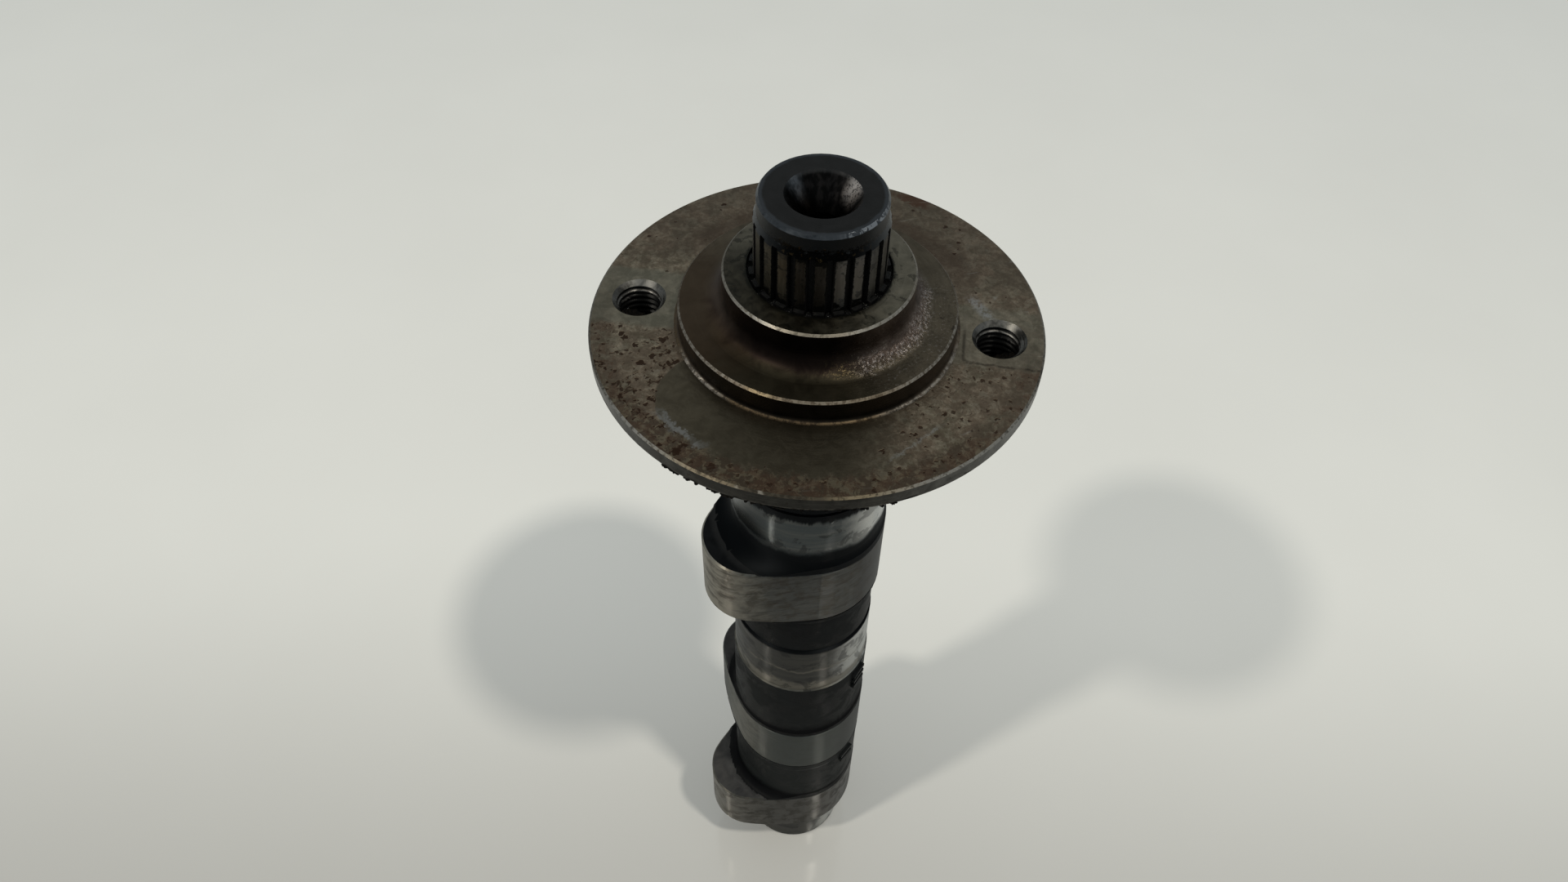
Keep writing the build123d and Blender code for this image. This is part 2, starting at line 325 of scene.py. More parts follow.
n.give(n.fade(away, -0.06, 0.06) * n.math("LESS_THAN", chance, amount))

# %% [markdown]
# Dried oil and dirt lie in soft clouds of several sizes. The smears effect is such a cloud, made
# of noise, with a contrast that can be turned up until it has edges. The shift takes each finish
# to another place in the same noise.

# %% Effect: smears
n = smears = Effect("Smears", {"Size mm": 8.0, "Contrast": 1.0, "Shift": 0.0})
cloud_size, contrast, shift = n.given
place = n.vectors("ADD", n.point, n.vector(0.0, shift, 0.0))
cloud = n.noise(place, 1.0 / cloud_size, 5.0, 0.6, 0.6) - 0.5
n.give(n.add("ShaderNodeClamp", 0, {0: cloud * (contrast * 2.5) + 0.5}))

# %% [markdown]
# Oil creeps and wear is one-sided, so many finishes differ from one side of the part to the other.
# A painted mask would need UVs. A sector needs only the angle: it is one on its side and fades
# toward its two borders. Its inputs are all degrees, and Middle is counted from +X toward +Y.
# Break lets a noise push the borders to and fro.

# %% Effect: sector
n = sector = Effect("Sector", {"Middle": 0.0, "Half": 30.0, "Soft": 10.0, "Break": 0.0})
middle, half, soft, broken = n.given
away = n.size(n.math("WRAP", n.math("DEGREES", n.angle) - middle, 180.0, -180.0))
away = away + (n.noise(n.point, 0.4, 4.0, 0.6) - 0.5) * (broken * 2.0)
n.give(n.fade(away, half - soft, half + soft))

# %% [markdown]
# The fine scratches of handling run in all directions. Modelled as grooves they would cost far too
# many faces. They are the thin cell borders of a stretched Voronoi texture, kept only where a noise
# lets them through.

# %% Effect: scratches
n = scratches = Effect("Scratches", {"Size mm": 3.0, "Amount": 0.5, "Turn": 0.4})
cell, amount, turn = n.given
turned = n.add("ShaderNodeVectorRotate", 0, {"Vector": n.point, "Angle": turn}, rotation_type="Z_AXIS")
inputs = {"Vector": n.vectors("MULTIPLY", turned, (0.16, 1.0, 0.35)), "Scale": 1.0 / cell}
border = n.add("ShaderNodeTexVoronoi", "Distance", inputs, feature="DISTANCE_TO_EDGE")
let_through = n.ramp(n.noise(n.point, 0.35, 2.0), 0.75 - amount * 0.4, 0.8)
n.give(n.fade(border, 0.0, 0.022) * let_through)

# %% [markdown]
# ## Starting a finish
#
# Every finish below is a new material with one Principled shader. Its colour is built up as real
# dirt is, layer over layer: paint() lays a colour over what is there, where a mask lets it. done()
# joins colour, roughness and a bump, which is given in millimetres. grind() turns the highlight
# across the grinding lines: on a ground surface the light smears out at right angles to the lines,
# so a round journal shows thin bright streaks that run along the shaft. In the cells that follow,
# f stands for the finish that is being made.

# %% Helper: a finish
class Finish(Nodes):
    """A new material. Specular is only given where a film of oil or dirt takes the shine away."""

    def __init__(self, name, metallic=1.0, specular=0.5):
        self.material = bpy.data.materials.new(name)
        self.material.use_nodes = True
        super().__init__(self.material.node_tree)
        self.shader = self.tree.nodes["Principled BSDF"].inputs
        self.shader["Metallic"].default_value = metallic
        self.shader["Specular IOR Level"].default_value = specular
        self.stand_on_part()

    def paint(self, mask, colour):
        """Lays a colour over the ones before it."""
        self.colour = self.mix(mask, self.colour, colour)

    def grind(self, amount):
        """Highlights that smear across lines which run round the axis."""
        self.shader["Anisotropic"].default_value = amount
        self.shader["Anisotropic Rotation"].default_value = 0.25
        tangent = self.add("ShaderNodeTangent", direction_type="RADIAL", axis="Z")
        self.set(self.shader["Tangent"], tangent)

    def done(self, roughness, height=None, depth_mm=0.0):
        """Joins everything. A height of one stands for depth_mm of bump."""
        self.set(self.shader["Base Color"], self.colour)
        self.set(self.shader["Roughness"], roughness)
        if height is not None:
            bump = self.add("ShaderNodeBump", 0, {"Height": height, "Distance": depth_mm * MM})
            self.set(self.shader["Normal"], bump)
        print("finish", self.material.name)


print("finish helper ready")

# %% [markdown]
# ## The ground journals
#
# The journals are the bearing surfaces, ground round and then polished by running: smooth, bluish
# grey and a little oily. One flat grey metal would look new. So fine lines run round them, slow
# bands of wear follow the same direction, and oil has left darker stains. Oil and painted shade
# together darken their upper edges and the fillet over a lobe. Their right side is painted pale,
# as a painted reflection of the lit floor, and from the front journal up their left is painted
# darker, as painted shade. The middle journal is duller than the front one, so the height decides
# between two greys.

# %% Finish: ground journal
f = ground_journal = Finish("ground_journal")
middle_low, middle_high = MIDDLE_JOURNAL
front_low, front_high = FRONT_JOURNAL
lines = f.use(lathe_lines, 7.0, 3.0)
wear = f.use(lathe_lines, 0.7, 1.2)
stain = f.use(smears, 4.0, 1.4, 3.0)
at_front = f.ramp(f.height, 92.0, 100.0)
worn = f.ramp(wear, 0.40, 0.62)
grey = f.mix(worn, (0.034, 0.034, 0.032), (0.054, 0.053, 0.048))
f.colour = f.mix(at_front, grey, f.mix(worn, (0.060, 0.071, 0.075), (0.088, 0.095, 0.094)))
f.paint(f.ramp(lines, 0.5, 0.75) * 0.10, (0.13, 0.128, 0.12))
# The right side of every journal is painted pale, as a painted reflection of the lit floor.
f.paint(f.use(sector, -22.0, 26.0, 14.0, 8.0) * 0.80, (0.50, 0.505, 0.49))
# The middle journal has wavy runs of bare metal.
wave = f.drawn_noise((0.16, 0.16, 0.0), 3.0, 0.6) * 4.0 + f.height
upper_run = f.use(band, wave, middle_low + 8.6, middle_low + 9.0, 0.35)
lower_run = f.use(band, wave, middle_low + 1.6, middle_low + 4.6, 0.7)
f.paint(f.most(upper_run, lower_run) * f.ramp(wear, 0.30, 0.50, 0.35, 0.8), (0.150, 0.140, 0.116))
# Oil and painted shade together: a black foot over the lobe, a ragged brow under the flange, a dark line
# at the top of the middle journal; painted shade on the left.
foot = f.fade(f.height + stain * 0.8, front_low + 5.0, front_low + 7.0)
foot = foot * f.ramp(f.height, front_low - 0.9, front_low - 0.1)
drips = f.drawn_noise((0.9, 0.9, 0.12), 4.0, 0.65)
brow = f.ramp(drips * 3.0 + f.height, front_high - 0.8, front_high + 0.3)
top_line = f.use(band, f.height, middle_high - 0.7, middle_high + 1.5, 0.3)
left = f.use(sector, -165.0, 42.0, 14.0, 6.0) * f.ramp(f.height, 100.0, 118.0) * 0.36
darkened = f.most(foot, brow, top_line)
f.paint(f.most(darkened, left, f.ramp(stain, 0.62, 0.80) * 0.55), (0.008, 0.009, 0.010))
polish = f.blend(at_front, f.blend(f.ramp(wear, 0.4, 0.65), 0.30, 0.40), 0.18)
f.grind(0.9)
f.done(f.blend(darkened, polish, 0.55), lines, 0.0006)

# %% [markdown]
# ## The lobes
#
# The running surface of a lobe is ground too, but the followers have worked it. It is warmer and
# browner than the journals, with short streaks along the direction of running and a few clouds
# where varnish from hot oil has baked on. Its left front is painted much lighter, as a painted
# highlight over the worked metal, its right a little darker, and the two lower lobes are painted
# duller, as painted shade. Three sets of lathe lines of different length make the streaks, because
# anything painted flat would not follow the curve of the lobe.

# %% Finish: lobe track
f = lobe_track = Finish("lobe_track")
lines = f.use(lathe_lines, 4.5, 5.0)
runs = f.use(lathe_lines, 0.9, 3.4)
varnish = f.use(lathe_lines, 0.34, 6.0)
blotch = f.use(smears, 2.6, 1.5, 9.0)
# The left front is painted much lighter, as a painted highlight over the rubbed track.
lit_and_rubbed = f.use(sector, -152.0, 34.0, 22.0, 14.0)
f.colour = f.mix(lit_and_rubbed, (0.066, 0.068, 0.066), (0.260, 0.243, 0.204))
f.paint(f.ramp(lines, 0.35, 0.7) * 0.22, (0.200, 0.188, 0.164))
f.paint(f.ramp(runs, 0.50, 0.66) * 0.55, (0.034, 0.032, 0.029))
browned = f.ramp(varnish, 0.44, 0.58) * f.ramp(blotch, 0.25, 0.75, 0.35, 1.0)
f.paint(browned * 0.55, (0.046, 0.037, 0.027))
# The two lower lobes are painted duller, as painted shade under the flange, grey-green on the middle one
# and brown on the rear.
tone = f.mix(f.ramp(f.height, 30.0, 42.0), (0.036, 0.034, 0.030), (0.058, 0.065, 0.062))
f.paint(f.fade(f.height, 62.0, 98.0) * f.blend(lit_and_rubbed, 0.80, 0.60), tone)
f.paint(f.use(sector, -22.0, 20.0, 8.0, 5.0) * 0.4, (0.020, 0.020, 0.022))
f.grind(0.85)
f.done(f.blend(f.most(browned, f.ramp(f.height, 34.0, 46.0)), 0.28, 0.42), lines, 0.003)

# %% [markdown]
# The flat cheeks of the lobes are left as they were turned, and old oil has turned them almost
# black. As a metal they would mirror the pale floor, so this finish isn't metallic and has hardly
# any shine. Only a faint ring round the middle still shows the tool.

# %% Finish: lobe cheek
f = lobe_cheek = Finish("lobe_cheek", metallic=0.0, specular=0.06)
tone = f.use(smears, 3.5, 1.2, 21.0)
black = f.mix(tone, (0.003, 0.0035, 0.004), (0.008, 0.009, 0.010))
dusty = f.mix(tone, (0.024, 0.024, 0.025), (0.044, 0.043, 0.042))
f.colour = f.mix(f.ramp(f.height, 40.0, 100.0), dusty, black)
# Next to the barrel the cheek is painted darker still, as painted shade in the corner.
corner_shade = f.ramp(tone * 1.5 + f.radius, BARREL_RADIUS + 0.9, BARREL_RADIUS + 4.5, 0.9, 0.0)
f.paint(corner_shade, (0.002, 0.002, 0.0025))
tool_ring = f.use(band, f.radius, BARREL_RADIUS + 1.7, BARREL_RADIUS + 3.3, 0.6)
f.paint(tool_ring * 0.175, (0.07, 0.07, 0.07))
f.done(f.blend(tone, 0.36, 0.5), f.use(lathe_lines, 5.0, 2.0), 0.008)

# %% [markdown]
# ## The cast barrel
#
# Between the lobes the iron is as it came from the mould: charcoal, slightly uneven, with an oil
# film that makes it shine softly. The unevenness is a few hundredths of a millimetre deep, so it
# is a bump and not displaced geometry. The fillet above each lobe is painted darker, as painted
# shade where the barrel meets the lobe.

# %% Finish: cast barrel
f = cast_barrel = Finish("cast_barrel", metallic=0.0, specular=0.03)
grain = f.noise(f.point, 2.6, 4.0, 0.6)
clouds = f.use(smears, 5.0, 1.2, 40.0)
wet = f.mix(clouds, (0.003, 0.0034, 0.0038), (0.009, 0.010, 0.0105))
dry = f.mix(clouds, (0.009, 0.0102, 0.0102), (0.017, 0.0185, 0.018))
f.colour = f.mix(f.ramp(f.height, 20.0, 95.0), dry, wet)
uneven = f.height - clouds * 0.6
tops = [bottom + LOBE_WIDTH for bottom in LOBES.values()]
fillet_shades = [f.use(band, uneven, top - 0.8, top + 2.6, 1.3) for top in tops]
# Painted shade in the fillets.
f.paint(f.most(*fillet_shades) * 0.9, (0.0025, 0.0025, 0.003))
f.done(f.blend(f.ramp(clouds, 0.3, 0.8), 0.42, 0.60), grain * 0.7 + clouds * 0.6, 0.03)

# %% [markdown]
# ## The splined nose
#
# The plain end of the nose is dark, bluish and satin, as hardened steel is when oil has burnt onto
# it. Its flat top is nearly black with a paler border, partly a painted highlight of the rounded
# edge. The front of its side is painted darker, as a painted dark reflection, and a crust of grime
# creeps up its front from the spline. The top and the side are one finish that asks how high it
# is, so that the oil runs over the edge without a break.

# %% Finish: nose steel
f = nose_steel = Finish("nose_steel")
skin = f.use(smears, 2.5, 0.9, 5.0)
fine = f.noise(f.point, 7.0, 4.0, 0.65)
crust = f.noise(f.point, 1.5, 4.0, 0.7)
top = f.ramp(f.height, NOSE_TOP - 0.1, NOSE_TOP - 0.02)
front_side = f.use(sector, -84.0, 44.0, 26.0, 8.0) * (1.0 - top)
f.colour = f.mix(skin, (0.0150, 0.0145, 0.0140), (0.0215, 0.0210, 0.0210))
border = f.ramp(skin * 0.25 + f.radius, NOSE_RADIUS - 0.85, NOSE_RADIUS - 0.5)
# The paler border is partly wear, partly a painted highlight of the rounded edge.
f.paint(border * 0.75, (0.050, 0.055, 0.062))
side = f.mix(skin, (0.026, 0.029, 0.032), (0.040, 0.043, 0.046))
f.paint(1.0 - top, side)
# The front of the side is painted darker, as a painted dark reflection.
f.paint(front_side * 0.72, (0.0065, 0.0070, 0.0075))
darkened = front_side * f.fade(f.height - crust * 4.2, SPLINE_CREST_TOP - 0.8, SPLINE_CREST_TOP - 0.5)
f.paint(darkened, f.mix(f.ramp(crust, 0.56, 0.66), (0.002, 0.002, 0.002), (0.030, 0.021, 0.010)))
f.done(f.blend(skin, 0.34, 0.46), darkened * (crust * 6.0) + fine, 0.010)

# %% [markdown]
# Round the upper edge of the nose runs a small chamfer, rubbed lighter than the rest. On the right
# the dark skin has been knocked off it in pale patches. Its faces get a finish of their own, which
# is simpler than finding so thin a ring with masks.

# %% Finish: nose edge
f = nose_edge = Finish("nose_edge")
skin = f.use(smears, 1.6, 1.2, 6.0)
chips = f.ramp(f.noise(f.point, 1.1, 4.0, 0.6, 0.5), 0.46, 0.54)
chipped = f.use(sector, -36.0, 26.0, 8.0, 12.0) * chips
f.colour = f.mix(skin, (0.028, 0.032, 0.037), (0.070, 0.076, 0.084))
f.paint(chipped * 0.8, (0.27, 0.28, 0.30))
f.done(f.blend(chipped, 0.38, 0.30), skin - chipped * 1.2, 0.02)

# %% [markdown]
# The crests of the spline teeth slide in a hub, so they are bare and rubbed lengthwise: the
# streaks run up the shaft instead of round it. Dirt has built up at the root of each tooth and
# just under the shoulder of the nose. It also nibbles at the long edges of a crest. Where those
# are follows from the angle and the number of teeth, so one finish serves all of them.

# %% Finish: spline tooth
f = spline_tooth = Finish("spline_tooth")
streaks = f.drawn_noise((2.6, 2.6, 0.30), 4.0, 0.6)
dirt = f.use(smears, 1.3, 1.7, 12.0)
front = f.use(sector, -92.0, 20.0, 14.0, 8.0)
f.colour = f.mix(f.ramp(streaks, 0.35, 0.68), (0.075, 0.070, 0.062), (0.140, 0.132, 0.120))
f.paint(f.use(sector, -135.0, 22.0, 12.0, 8.0) * 0.5, (0.105, 0.092, 0.058))
# The teeth in front are painted nearly black, as a painted dark reflection.
f.paint(front * 0.80, (0.020, 0.016, 0.012))
# The teeth on the right are painted pale grey, as painted light.
f.paint(f.use(sector, -52.0, 18.0, 10.0, 6.0) * 0.6, (0.200, 0.200, 0.200))
foot = f.height - f.use(sector, -88.0, 45.0, 20.0) * 1.3 + dirt * 1.8
low = f.fade(foot, SPLINE_SEAT_TOP + 0.2, SPLINE_SEAT_TOP + 1.2)
high = f.ramp(f.height - dirt * 1.2, SPLINE_CREST_TOP - 1.5, SPLINE_CREST_TOP - 0.8)
high = high * f.blend(front, 0.45, 1.0)
# Counted in teeth, the angle is whole in the middle of every groove.
teeth = (f.math("DEGREES", f.angle) - SPLINE_PHASE) / (360.0 / SPLINE_TEETH)
off_groove = f.size(f.math("WRAP", teeth, 0.5, -0.5))
nibbled = (f.noise(f.point, 2.2, 3.0, 0.7) - 0.5) * 0.22
edges = f.ramp(0.5 - off_groove + nibbled, 0.255, 0.285)
cover = f.most(low, high, f.ramp(dirt, 0.72, 0.95) * 0.6, edges)
f.paint(cover, (0.006, 0.006, 0.005))
f.done(f.blend(cover, 0.38, 0.6), streaks + cover, 0.015)

# %% [markdown]
# The grooves between the teeth are packed with black oil and fine grit. The packing could be a
# mesh in every groove, but the grooves are narrow and dark, and a bump with a shine that comes and
# goes with the lumps does as well.

# %% Finish: packed groove
f = packed_groove = Finish("packed_groove", metallic=0.0, specular=0.12)
lumps = f.noise(f.point, 2.8, 4.0, 0.7)
f.colour = f.mix(f.ramp(lumps, 0.55, 0.8), (0.003, 0.003, 0.003), (0.016, 0.013, 0.010))
f.done(f.blend(f.ramp(lumps, 0.35, 0.7), 0.35, 0.75), lumps, 0.10)

# %% [markdown]
# The lathe centre in the nose is a turned cone, oily and dark. Two of its sides shine, and because
# the turning lines run round it, the shine is drawn out into streaks that run down to the hole. The
# lamps alone would light other places of so deep a cone, so the two bright sides are painted.

# %% Finish: centre drilling
f = centre_drilling = Finish("centre_drilling")
streaks = f.drawn_noise((1.6, 1.6, 0.25), 3.0)
upper = f.ramp(f.radius, 2.9, 4.3)
left = f.use(sector, 152.0, 10.0, 14.0, 8.0) * upper
right = f.use(sector, 30.0, 15.0, 14.0, 8.0) * upper
pits = f.ramp(f.noise(f.point, 2.6, 3.0, 0.7), 0.50, 0.58, 1.0, 0.25)
f.colour = f.mix(f.ramp(streaks, 0.40, 0.62), (0.005, 0.005, 0.005), (0.013, 0.012, 0.012))
f.paint(left * f.ramp(streaks, 0.38, 0.6, 0.45, 0.9), (0.14, 0.155, 0.175))
f.paint(right * pits * 0.95, (0.90, 0.79, 0.72))
f.paint(f.ramp(f.radius, CENTRE_RADIUS - 0.25, CENTRE_RADIUS) * 0.25, (0.10, 0.10, 0.10))
# The throat of the cone is painted black, as painted shade deep in the hole.
f.paint(f.fade(f.radius, 2.2, 3.5), (0.003, 0.003, 0.003))
f.grind(0.6)
f.done(f.blend(streaks, 0.26, 0.36), f.use(lathe_lines, 3.0, 4.0), 0.006)

# %% [markdown]
# ## The flange face
#
# This is the surface that tells the most. A strap was clamped across it, over both holes, and kept
# it clean and greenish grey there. In front of the pilot a smooth, oily, olive patch was covered by
# another part: its left border is still crisp, its outer border ragged. Everywhere else the face is
# tan and mottled, with dark brown freckles and a few red-brown stains near the rim. An image could
# hold all this, but only at one sharpness. So each place is a mask, made from the radius, the
# distance across and the distance behind the axis, and two noises let its border wander.

# %% Flange face: clouds and wandering borders
f = flange_face = Finish("flange_face")
grain = f.noise(f.point, 1.7, 4.0, 0.68)
mottle = f.use(smears, 1.8, 1.7, 7.0)
cloud = f.use(smears, 7.0, 1.2, 2.0)
islands = f.noise(f.point, 0.75, 5.0, 0.72, 0.6)
rings = f.use(lathe_lines, 3.2, 1.6)
wander = f.noise(f.point, 0.55, 4.0, 0.65) - 0.5
fine_wander = f.noise(f.point, 1.6, 3.0, 0.65) - 0.5
ragged = f.radius + wander * 3.0 + fine_wander * 2.4
print("clouds of", flange_face.material.name)

# %% [markdown]
# The covered patch lies inside a curved left border and a ragged outer one and fades to the right.
# Its left border is a parabola, the simplest curve that bulges. The front is painted darker, as
# painted shade, most in the middle and a little to the left of it.

# %% Flange face: covered patch
PATCH_LEFT, PATCH_MIDDLE, PATCH_HALF, PATCH_BULGE, PATCH_OUTER = -19.3, -17.2, 6.2, 2.6, 27.9
bow = (f.behind - PATCH_MIDDLE) / PATCH_HALF
border = bow * bow * PATCH_BULGE + PATCH_LEFT
patch = f.ramp(f.across + wander * 0.7 - border, -0.2, 0.2)
patch = patch * f.fade(ragged, PATCH_OUTER, PATCH_OUTER + 1.6)
patch = patch * f.fade(f.behind, -12.0, -9.5) * f.fade(f.across + wander * 6.0, 6.0, 17.0)
front_shade = f.fade(f.behind, -16.0, -10.0) * f.fade(f.across, 3.0, 16.0) * f.ramp(f.across, -16.5, -8.0)
print("patch out to", PATCH_OUTER, "mm")

# %% [markdown]
# The strap has left a clean print over both holes. On the right, dirt has drawn a dark line along
# its edge, which turns a rounded corner beside the pilot: Smooth Maximum joins two straight
# distances into one with such a corner.

# %% Flange face: print of the strap
STRAP_MIDDLE, STRAP_HALF, STRAP_START, STRAP_CORNER = 0.2, 5.6, 20.6, 1.6
strap_edge = f.size(f.behind - STRAP_MIDDLE) - STRAP_HALF + wander * 1.6
strap = f.fade(strap_edge, -0.5, 0.9)
strap_start = STRAP_START - f.size(f.across)
corner = f.math("SMOOTH_MAX", strap_edge, strap_start, STRAP_CORNER)
line = f.use(band, corner, -0.30, 0.10, 0.16) * f.ramp(f.across, 19.0, 20.0)
line = line * f.ramp(1.0 - f.behind * 0.4, 0.2, 1.2)
line = line * f.ramp(f.noise(f.point, 0.7, 3.0), 0.38, 0.52, 0.35, 1.0)
print("strap", 2.0 * STRAP_HALF, "mm wide")

# %% [markdown]
# Freckles of two sizes and larger blots crowd outside the patch and the strap, most of them in
# front and on the left. One mask, crowd, says how many there are, and feeds the amount of both
# sizes, so the crowd thins out by losing spots and not by fading.

# %% Flange face: freckles and stains
bare = (1.0 - patch) * (1.0 - strap * 0.9)
low_side = f.fade(f.behind, -4.0, 8.0)
near_rim = f.ramp(ragged, 28.2, 29.8)
crowd = bare * f.ramp(f.behind, -6.0, 5.0, 1.0, 0.12) * f.ramp(cloud, 0.30, 0.60, 0.55, 1.0)
crowd = crowd * f.ramp(f.across, -12.0, 14.0, 1.0, 0.6)
small = f.use(freckles, 0.55, crowd * 0.95, 0.0)
large = f.use(freckles, 0.95, crowd * f.ramp(f.across, -15.0, -8.0, 1.0, 0.5), 14.0)
blots = f.ramp(f.noise(f.point, 0.62, 4.0, 0.66, 0.8), 0.585, 0.610)
blots = blots * crowd * f.ramp(f.across, -14.0, -6.0, 0.95, 0.25)
spots = f.most(small * 0.90, large, blots)
stain = f.ramp(mottle, 0.35, 0.75) * near_rim * bare * low_side
tide = f.use(band, f.use(smears, 2.6, 1.0, 81.0), 0.46, 0.50, 0.02)
tide = tide * bare * low_side * f.ramp(mottle, 0.2, 0.7)
print("freckles and stains ready")

# %% [markdown]
# Three pale marks are left by handling: a smear near the rim at the front left, another behind the
# right hole, and one long scuff on the right. Each is a short stroke: a limit along it, a narrower
# one across it, and a noise that breaks it. Fine scratches lie over the right half.

# %% Flange face: pale marks
PALE_AT, SMEAR_ACROSS, SMEAR_BEHIND, SCUFF_FROM_AXIS = -122.5, 22.8, 5.6, -25.35
pale_smear = f.use(sector, PALE_AT, 8.0, 3.0, 6.0) * f.use(band, ragged, 27.3, 28.5, 0.3)
smear_x, smear_y = f.across - SMEAR_ACROSS, f.behind - SMEAR_BEHIND
smear = f.fade(f.size(smear_x * 0.6 - smear_y * 0.8), 1.5, 3.6)
smear = smear * f.fade(f.size(smear_x * 0.8 + smear_y * 0.6), 0.2, 1.3)
scuff_off = f.behind * 0.668 - f.across * 0.744 + fine_wander * 1.6
scuff = f.use(band, scuff_off, SCUFF_FROM_AXIS - 0.20, SCUFF_FROM_AXIS + 0.20, 0.22)
scuff = scuff * f.use(band, f.across, 12.5, 18.6, 0.8)
marks = f.use(scratches, 4.5, 0.5, -0.35) * f.ramp(f.across, 4.0, 16.0, 0.1, 0.55)
print("pale marks ready")

# %% [markdown]
# Now the layers go on, the real ones in the order in which they came: the turned steel with its
# tan rust, the prints of strap and patch, the stains and freckles, and last the marks that cut
# through everything. Painted shade goes on at the back after the rust, and in front after the patch.

# %% Flange face: the layers
f.colour = f.mix(mottle, (0.124, 0.102, 0.070), (0.226, 0.189, 0.140))
f.paint(f.ramp(cloud, 0.45, 0.60) * 0.45, (0.150, 0.108, 0.078))
f.paint(f.ramp(grain, 0.40, 0.60, 0.45, 0.0), (0.070, 0.053, 0.035))
f.paint(f.ramp(islands, 0.500, 0.525, 0.0, 0.42), (0.092, 0.066, 0.047))
f.paint(f.ramp(islands, 0.430, 0.455, 0.30, 0.0), (0.245, 0.215, 0.165))
f.paint(f.ramp(rings, 0.55, 0.75) * 0.20, (0.175, 0.155, 0.120))
# The back: painted shade, with a darker band of painted shade behind the pilot.
f.paint(f.fade(cloud, 0.40, 0.62) * f.ramp(f.behind, 6.0, 12.0) * 0.35, (0.062, 0.050, 0.036))
f.paint(f.ramp(f.behind, 6.0, 18.0, 0.0, 0.35), (0.070, 0.052, 0.037))
f.paint(f.use(band, ragged, 20.5, 25.5, 1.2) * f.ramp(f.behind, 8.0, 16.0) * 0.55, (0.052, 0.034, 0.023))
# Strap, patch, a darker band along the front rim, and painted shade in front.
clean = f.mix(mottle, (0.122, 0.116, 0.088), (0.165, 0.156, 0.122))
f.paint(strap * f.ramp(f.across, 10.0, 20.0, 0.70, 0.45), clean)
f.paint(patch * 0.92, f.mix(mottle, (0.060, 0.050, 0.034), (0.080, 0.067, 0.046)))
f.paint(near_rim * low_side * 0.28, (0.050, 0.040, 0.029))
f.paint(front_shade * f.blend(patch, 0.42, 0.32), (0.026, 0.021, 0.014))
# Stains and freckles.
front_ring = f.ramp(ragged, PATCH_OUTER + 0.4, PATCH_OUTER + 1.2) * f.fade(f.behind, -21.0, -15.0)
blotched = f.mix(f.ramp(islands, 0.46, 0.50), (0.125, 0.101, 0.066), (0.052, 0.036, 0.025))
f.paint(front_ring * 0.55, blotched)
f.paint(stain * 0.50, (0.050, 0.029, 0.020))
f.paint(tide * 0.55, (0.030, 0.020, 0.014))
back_stain = f.use(sector, 68.0, 5.0, 2.5, 5.0) * f.ramp(ragged, 29.4, 30.0)
f.paint(back_stain * 0.75, (0.062, 0.026, 0.014))
f.paint(pale_smear * f.ramp(mottle, 0.2, 0.6, 0.20, 0.65), (0.225, 0.220, 0.212))
f.paint(spots * f.blend(front_shade, 0.90, 0.70), (0.020, 0.010, 0.006))
# The marks on top.
f.paint(line * 0.62, (0.018, 0.014, 0.010))
f.paint(smear * f.ramp(grain, 0.38, 0.56, 0.1, 0.7), (0.270, 0.268, 0.262))
f.paint(scuff * f.ramp(grain, 0.42, 0.56, 0.20, 0.65), (0.230, 0.222, 0.200))
f.paint(marks, (0.30, 0.29, 0.26))
rough = f.blend(patch, f.blend(mottle, 0.40, 0.52), 0.36)
relief = rings * 0.30 + mottle * 0.30 + grain * 0.25 - spots * 0.8
f.done(f.blend(f.most(spots, stain * 0.8), rough, 0.62), relief, 0.03)

# %% [markdown]
# ## Worn edges, with painted highlights
#
# Wherever a turned edge is knocked and handled, the oxide is gone and the steel shines: a thin
# broken line, silver where it is fresh, golden where a film of old oil lies over it, and missing
# for long stretches. The brightest stretches, at the front left and front right, are also painted
# highlights where the lamps catch the edges. A node that measures how sharp an edge is would find
# them all and treat them alike. The three edges have the same build and differ in where they are
# bright, so one function makes their finishes. Each entry of its list is a sector: its middle and
# half angle, how strong the shine is, and how golden.

# %% Finish: worn and lit edge
SILVER, GOLD = (0.30, 0.285, 0.26), (0.30, 0.225, 0.125)


def worn_and_lit_edge(name, stretches, dull, chip):
    """An edge that is dull, and shines in the given stretches, as wear and as painted highlight."""
    f = Finish(name)
    chips = f.noise(f.point, 1.6, 4.0, 0.65)
    broken = f.ramp(chips, chip - 0.12, chip + 0.10, 0.15, 1.0)
    f.colour = f.mix(f.ramp(chips, 0.4, 0.6), dull, tuple(1.7 * v for v in dull))
    shine = 0.0
    for middle, half, strength, golden in stretches:
        here = f.use(sector, middle, half, min(8.0, 0.6 * half), 5.0) * broken * strength
        f.paint(here, tuple(s + (g - s) * golden for s, g in zip(SILVER, GOLD)))
        shine = f.most(shine, here)
    f.done(f.blend(shine, 0.5, 0.30), chips, 0.015)
    return f


